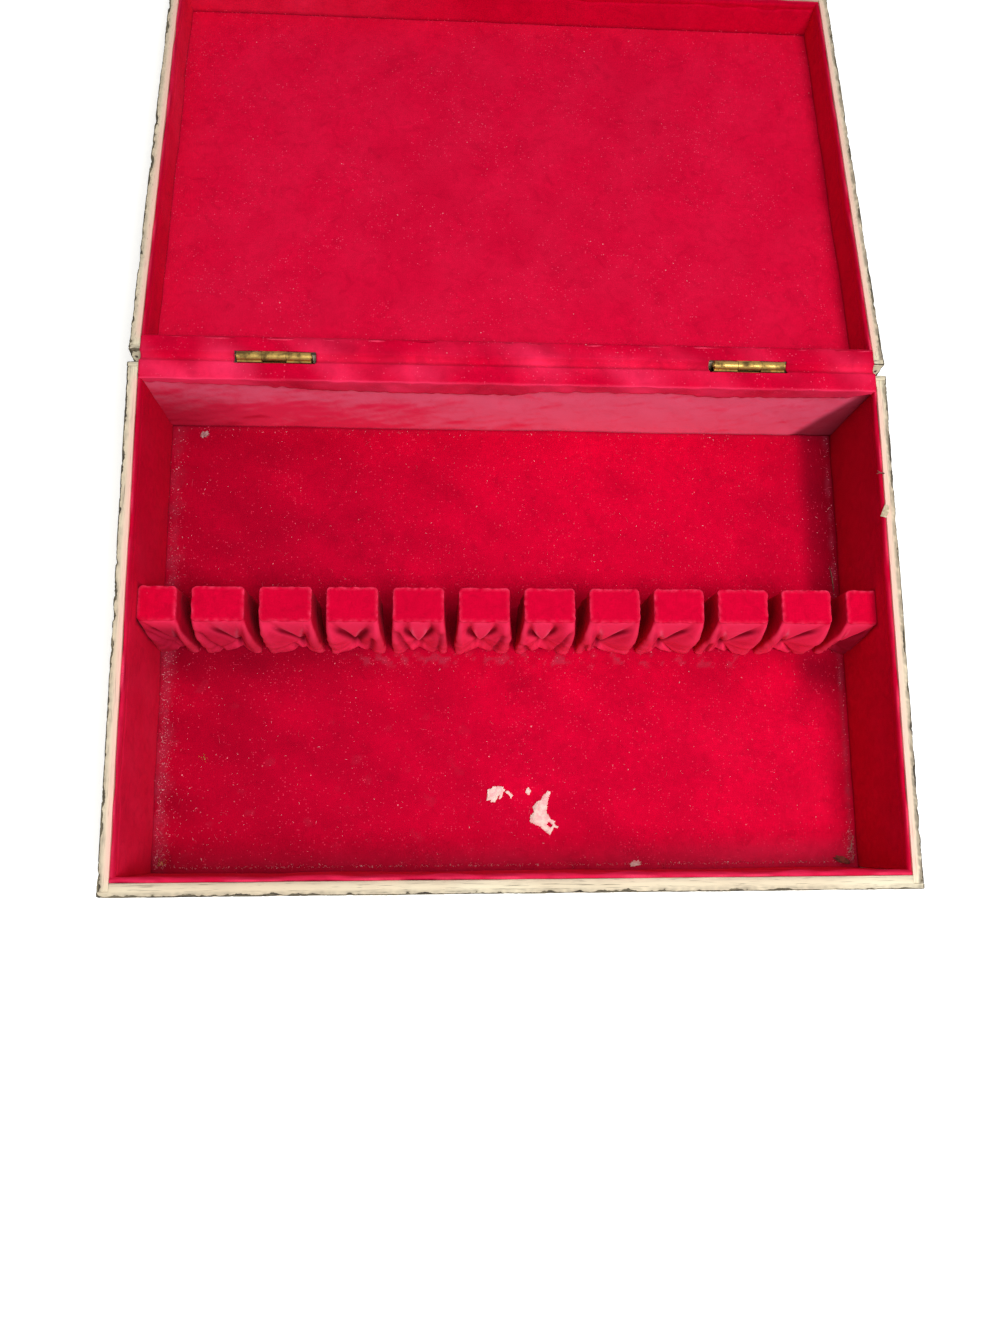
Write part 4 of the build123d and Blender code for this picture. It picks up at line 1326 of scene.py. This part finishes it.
def fibres(name, places, lengths, width, seed, finish, bend=0.5, ways=(0, 2 * math.pi)):
    """Many short fibres in one mesh: each is a bent rod of three sides, whose line curves by the
    square of the distance along it and rises slightly in its middle."""
    chance = np.random.default_rng(seed)
    count, steps = len(places), 5
    heading = chance.uniform(*ways, count)
    curve = chance.normal(0, bend, count)
    t = np.linspace(-0.5, 0.5, steps)
    along = t[None] * lengths[:, None]
    across = curve[:, None] * lengths[:, None] * (t[None] ** 2)
    cos, sin = np.cos(heading)[:, None], np.sin(heading)[:, None]
    rise = 0.12 + chance.uniform(0.0, 0.5, count)[:, None] * lengths[:, None] * 0.12 * (1 - 4 * t[None] ** 2)
    line = np.stack([along * cos - across * sin, along * sin + across * cos, rise], -1) + places[:, None]
    taper = (1 - (2 * t) ** 4 * 0.7)[None, :, None, None] * width[:, None, None, None] / 2
    around = 2 * math.pi * np.arange(3) / 3
    flat = np.broadcast_to(np.cos(around), (count, 1, 3))
    up = np.broadcast_to(np.sin(around), flat.shape)
    ring = np.stack([-sin[:, :, None] * flat, cos[:, :, None] * flat, up], -1)
    points = line[:, :, None] + taper * ring
    first = (np.arange(count) * steps * 3)[:, None, None]
    sides = (quads(steps, 3, True)[None] + first).reshape(-1, 4)
    caps = np.array([[2, 1, 0], [3 * steps - 3, 3 * steps - 2, 3 * steps - 1]])
    caps = (caps[None] + first).reshape(-1, 3)
    piece = make_piece(name, points.reshape(-1, 3), sides.tolist() + caps.tolist())
    return dress(piece, finish, CASE, "velvet")


# The two torn papers and the bit between them, as traced corners in millimetres.
PAPER_LEFT = [
    (-12.8, -82.5), (-10.3, -81.9), (-10.0, -80.9), (-7.0, -80.8), (-3.9, -81.0), (-4.1, -82.1),
    (-2.9, -82.7), (-3.4, -83.6), (-4.2, -84.0), (-4.5, -86.3), (-6.1, -88.2), (-6.6, -87.4),
    (-5.9, -85.7), (-7.0, -86.2), (-7.5, -87.6), (-8.8, -89.6), (-10.0, -89.2), (-10.7, -89.6),
    (-11.3, -88.1), (-13.3, -88.8), (-12.9, -85.4),
]
PAPER_TAB = [(-2.4, -83.3), (-1.4, -83.1), (1.3, -85.7), (0.0, -87.7), (-1.1, -85.7), (-2.9, -84.0)]
PAPER_BIT = [(9.8, -81.3), (11.4, -83.4), (9.9, -85.9), (8.1, -84.2), (8.5, -82.7)]
PAPER_RIGHT = [
    (20.4, -83.4), (22.3, -84.0), (21.0, -87.2), (20.0, -92.0), (19.8, -95.3), (21.8, -98.8),
    (24.6, -100.1), (23.9, -101.2), (24.6, -102.3), (26.1, -102.8), (25.7, -103.9), (23.8, -103.2),
    (21.4, -107.6), (19.2, -105.8), (16.8, -103.6), (16.4, -102.8), (13.9, -102.2), (10.3, -100.1),
    (10.7, -96.9), (12.9, -94.8), (12.0, -91.9), (14.3, -89.4), (16.6, -88.5), (17.5, -86.5),
]
RIM_FLAKE = [
    (191.0, 56.2), (192.6, 59.6), (193.8, 62.6), (195.9, 61.6), (195.6, 58.6), (194.2, 55.1),
    (192.6, 55.6),
]
PAPER_HOLE = [(20.7, -100.3), (23.2, -102.1), (21.9, -103.5), (19.6, -101.8)]


# Small flakes: where they lie, with their height over the floor, their size, turn, seed, curl and
# thickness, and their kind.
FLAKES = (
    ("brown_flake", (183.4, -122.0, 0.3), (9.2, 3.4), -0.3, 84, 0.4, 0.4, "brown_chip"),
    ("white_flake", (67.9, -123.2, 0.2), (6.2, 2.9), 0.1, 85, 0.3, 0.3, "pale_scrap"),
    ("grey_flake", (-174.2, 121.0, 0.1), (4.8, 3.2), 0.2, 86, 0.4, 0.3, "grey_chip"),
)

# Single strands, each as its middle, with its height over the node that it lies on, its length and its
# width. After them come their seed, kind, bend and the range of their headings.
STRANDS = (
    (
        "pale_curl", "lining_floor",
        ((190.0, -115.3, 0, 7.5, 0.5), (191.2, -110.6, 0, 3.5, 0.4), (190.6, -120.4, 0, 3.0, 0.5)),
        88, "paint_chip", 1.4, (0, 2 * math.pi),
    ),
    ("dark_threads", "lining_floor", ((188.4, 38.0, 0.4, 16.0, 0.6),), 91, "dark_thread", 0.05, (1.66, 1.70)),
    (
        "rim_splinters", "case_right",
        ((192.4, 79.6, 0.7, 4.6, 0.5), (191.6, 80.4, 0.6, 2.0, 0.4), (193.6, 79.2, 0.7, 2.4, 0.5)),
        92, "dark_thread", 0.2, (-0.5, 0.5),
    ),
)


def floor_scatter():
    """Places of lint on the chest's floor: most anywhere, many by the left wall, the front and the
    right wall, and a heap in the front left corner."""
    chance = np.random.default_rng(71)
    low, high = shut_box("lining_floor")
    span_x, span_y = (low[0] + 3, high[0] - 3), (low[1] + 4, high[1] - 3)

    def spots(count, across, up):
        """This many places, drawn by one rule across and one from front to rear."""
        return np.stack([across(count) * np.ones(count), up(count) * np.ones(count)], -1)

    def anywhere(span):
        """Draws evenly between two ends."""
        return lambda count: chance.uniform(*span, count)

    def near(edge, side, reach):
        """Draws by half a normal curve, from an edge to one side of it."""
        return lambda count: edge + side * np.abs(chance.normal(0, reach, count))

    flat = np.concatenate([
        spots(600, anywhere(span_x), anywhere(span_y)),
        spots(300, near(span_x[0], 1, 4), anywhere((span_y[0], 0))),
        spots(110, near(span_x[0], 1, 4), anywhere((0, span_y[1]))),
        spots(520, anywhere(span_x), near(span_y[0], 1, 0.8)),
        spots(90, near(span_x[1], -1, 2.0), anywhere(span_y)),
        spots(70, anywhere(span_x), near(span_y[1], -1, 1.5)),
        spots(45, near(span_x[0], 1, 4), near(span_y[0], 1, 6)),
        spots(110, near(span_x[0], 1, 28), near(span_y[0], 1, 45)),
        spots(150, near(span_x[1], -1, 2.4), near(span_y[0], 1, 9)),
    ])
    rack_low, rack_high = shut_box("rack_block_02")
    clear = (flat[:, 1] < rack_low[1] - 9) | (flat[:, 1] > rack_high[1] + 3)
    flat = flat[clear]
    flat[:, 0] = np.clip(flat[:, 0], *span_x)
    flat[:, 1] = np.clip(flat[:, 1], *span_y)
    return np.concatenate([flat, np.full((len(flat), 1), high[2])], -1)


class CHEST_OT_litter(bpy.types.Operator):
    """Scatters the lint, scraps and chips that lie in the old chest"""

    bl_idname = "chest.litter"
    bl_label = "Litter"

    def execute(self, context):
        chance = np.random.default_rng(72)
        floor_z = shut_box("lining_floor")[1][2]
        rim_z = shut_box("case_right")[1][2]
        places = chance.permutation(floor_scatter())
        long, some = len(places) // 8, len(places) // 12
        for name, count, lengths, widths, seed, kind, bend in (
            ("lint_long", long, (1.5, 5.0), (0.14, 0.24), 73, "pink_lint", 0.9),
            ("lint_pale", some, (0.6, 1.7), (0.3, 0.6), 76, "pale_lint", 0.2),
            ("lint_short", len(places) - long - some, (0.25, 0.95), (0.15, 0.34), 74, "pale_lint", 0.5),
        ):
            here, places = places[:count], places[count:]
            lengths, widths = chance.uniform(*lengths, count), chance.uniform(*widths, count)
            fibres(name, here, lengths, widths, seed, litter_finish(kind), bend)
        # Straw: fifty crumbs in the front left corner, and twenty in a heap beside the left wall.
        heap = np.abs(chance.normal(0, (2.0, 1.6), (70, 2))) + (-189.4, -122.2)
        heap[50:] = chance.normal(0, 1.3, (20, 2)) + (-167.4, -64.8)
        crumbs = np.column_stack([heap, np.full(len(heap), floor_z)])
        lengths, widths = chance.uniform(0.3, 0.8, len(heap)), chance.uniform(0.25, 0.5, len(heap))
        fibres("straw_crumbs", crumbs, lengths, widths, 75, litter_finish("straw_crumb"))
        for name, outlines, seed in (
            ("paper_left", [PAPER_LEFT], 81),
            ("paper_tab", [PAPER_TAB], 82),
            ("paper_bit", [PAPER_BIT], 83),
            ("paper_right", [PAPER_RIGHT, PAPER_HOLE], 89),
        ):
            torn(name, outlines, floor_z, seed, litter_finish("pale_scrap"))
        for name, place, *numbers, kind in FLAKES:
            flake(name, Z * floor_z + place, *numbers, litter_finish(kind))
        torn("rim_flake", [RIM_FLAKE], rim_z, 87, litter_finish("paint_chip"))
        for name, under, strands, seed, kind, bend, ways in STRANDS:
            strands = np.array(strands)
            here = strands[:, :3] + Z * shut_box(under)[1][2]
            fibres(name, here, strands[:, 3], strands[:, 4], seed, litter_finish(kind), bend, ways)
        return {"FINISHED"}


# Table, lamps and camera

# Where the photograph's camera stood, in metres, and how it was turned, in radians, as fitted to the
# rim, the floor's corners and the rack.
EYE_PLACE = (-0.0377023, -0.1045902, 0.557154)
EYE_TURN = (0.165808, -0.0576205, -0.00724752)

# How far the table reaches each way, and its height: just under the chest.
TABLE_REACH, TABLE_TOP = 4000.0, -0.05


class CHEST_OT_stage(bpy.types.Operator):
    """Sets the pale table, the soft lamps and the camera"""

    bl_idname = "chest.stage"
    bl_label = "Stage"

    def execute(self, context):
        looks = scene_settings()
        scene = context.scene
        scene.view_settings.view_transform = "Standard"
        self.table(looks)
        self.room(scene, looks)
        self.lamp("key_lamp", (0.29, -0.30, 1.15), (0.0, 0.0, 0.03), 0.46, looks.key_power)
        self.lamp("soft_lamp", (-0.05, -0.10, 1.6), (0.0, 0.0, 0.0), 1.6, looks.soft_power)
        eye = bpy.data.cameras.new("camera")
        eye.lens = looks.lens
        eye.sensor_width = 36
        eye.clip_start = 0.01
        camera = bpy.data.objects.new("camera", eye)
        scene.collection.objects.link(camera)
        camera.location = EYE_PLACE
        camera.rotation_euler = Euler(EYE_TURN, "XYZ")
        scene.camera = camera
        return {"FINISHED"}

    def table(self, looks):
        """A flat pale table, which also glows as seen by the camera, so that it looks evenly lit."""
        grid = levels((-TABLE_REACH, TABLE_REACH, TABLE_REACH / 4))
        x, y = np.meshgrid(grid, grid, indexing="ij")
        points = np.stack([x, y, np.full(x.shape, TABLE_TOP)], -1).reshape(-1, 3)
        table = make_piece("table", points, quads(len(grid), len(grid), False), close=False)
        s = Shading("pale_table")
        s.put(s.surface.inputs["Roughness"], 0.9)
        s.put(s.surface.inputs["Base Color"], looks.floor)
        s.put(s.surface.inputs["Specular IOR Level"], 0.1)
        path = s.tree.nodes.new("ShaderNodeLightPath")
        seen = s.sums("MAXIMUM", path.outputs["Is Camera Ray"], path.outputs["Is Glossy Ray"])
        seen = s.sums("MAXIMUM", seen, path.outputs["Is Transmission Ray"])
        s.put(s.surface.inputs["Emission Color"], (1.0, 1.0, 1.0))
        s.put(s.surface.inputs["Emission Strength"], s.sums("MULTIPLY", seen, 0.42))
        table.data.materials.append(s.material)

    def room(self, scene, looks):
        """Soft light from all sides, behind which the camera sees plain white."""
        world = bpy.data.worlds.new("room")
        scene.world = world
        world.use_nodes = True
        tree = world.node_tree
        tree.nodes.clear()
        output = tree.nodes.new("ShaderNodeOutputWorld")
        path = tree.nodes.new("ShaderNodeLightPath")
        shades = []
        for strength in (looks.sky, 1.0):
            light = tree.nodes.new("ShaderNodeBackground")
            light.inputs["Color"].default_value = (1, 1, 1, 1)
            light.inputs["Strength"].default_value = strength
            shades.append(light.outputs["Background"])
        seen = path.outputs["Is Camera Ray"]
        for ray in ("Is Glossy Ray", "Is Transmission Ray"):
            either = tree.nodes.new("ShaderNodeMath")
            either.operation = "MAXIMUM"
            tree.links.new(seen, either.inputs[0])
            tree.links.new(path.outputs[ray], either.inputs[1])
            seen = either.outputs[0]
        mix = tree.nodes.new("ShaderNodeMixShader")
        for socket, value in zip(mix.inputs, (seen, *shades)):
            tree.links.new(value, socket)
        tree.links.new(mix.outputs["Shader"], output.inputs["Surface"])

    def lamp(self, name, place, target, size, power):
        """A round lamp of this size in metres, turned from its place towards its target."""
        light = bpy.data.lights.new(name, "AREA")
        light.shape = "DISK"
        light.size = size
        light.energy = power
        lamp = bpy.data.objects.new(name, light)
        bpy.context.scene.collection.objects.link(lamp)
        lamp.location = place
        lamp.rotation_euler = (Vector(place) - Vector(target)).to_track_quat("Z", "Y").to_euler()


class CHEST_PT_panel(bpy.types.Panel):
    """Lists the chest's settings and its building steps"""

    bl_idname = "CHEST_PT_panel"
    bl_label = "Antique cutlery chest"
    bl_space_type = "VIEW_3D"
    bl_region_type = "UI"
    bl_category = "Chest"

    def draw(self, context):
        """Shows a button for each step, and each setting."""
        for step in STEPS:
            self.layout.operator(step.bl_idname)
        for key in ChestSettings.__annotations__:
            self.layout.prop(context.scene.chest, key)


STEPS = (
    CHEST_OT_case_boards,
    CHEST_OT_lid_boards,
    CHEST_OT_case_linings,
    CHEST_OT_lid_linings,
    CHEST_OT_rack_covers,
    CHEST_OT_hinge_cloth,
    CHEST_OT_hardware,
    CHEST_OT_litter,
    CHEST_OT_stage,
)
CLASSES = (ChestSettings, *STEPS, CHEST_PT_panel)


def register():
    """Adds the chest's settings, steps and panel to Blender."""
    for cls in CLASSES:
        bpy.utils.register_class(cls)
    bpy.types.Scene.chest = bpy.props.PointerProperty(type=ChestSettings)


def unregister():
    """Takes them away again."""
    del bpy.types.Scene.chest
    for cls in reversed(CLASSES):
        bpy.utils.unregister_class(cls)


def main():
    """Builds everything."""
    register()
    bpy.ops.chest.case_boards()
    bpy.ops.chest.lid_boards()
    bpy.ops.chest.case_linings()
    bpy.ops.chest.lid_linings()
    bpy.ops.chest.rack_covers()
    bpy.ops.chest.hinge_cloth()
    bpy.ops.chest.hardware()
    bpy.ops.chest.litter()
    bpy.ops.chest.stage()


if __name__ == "__main__":
    main()
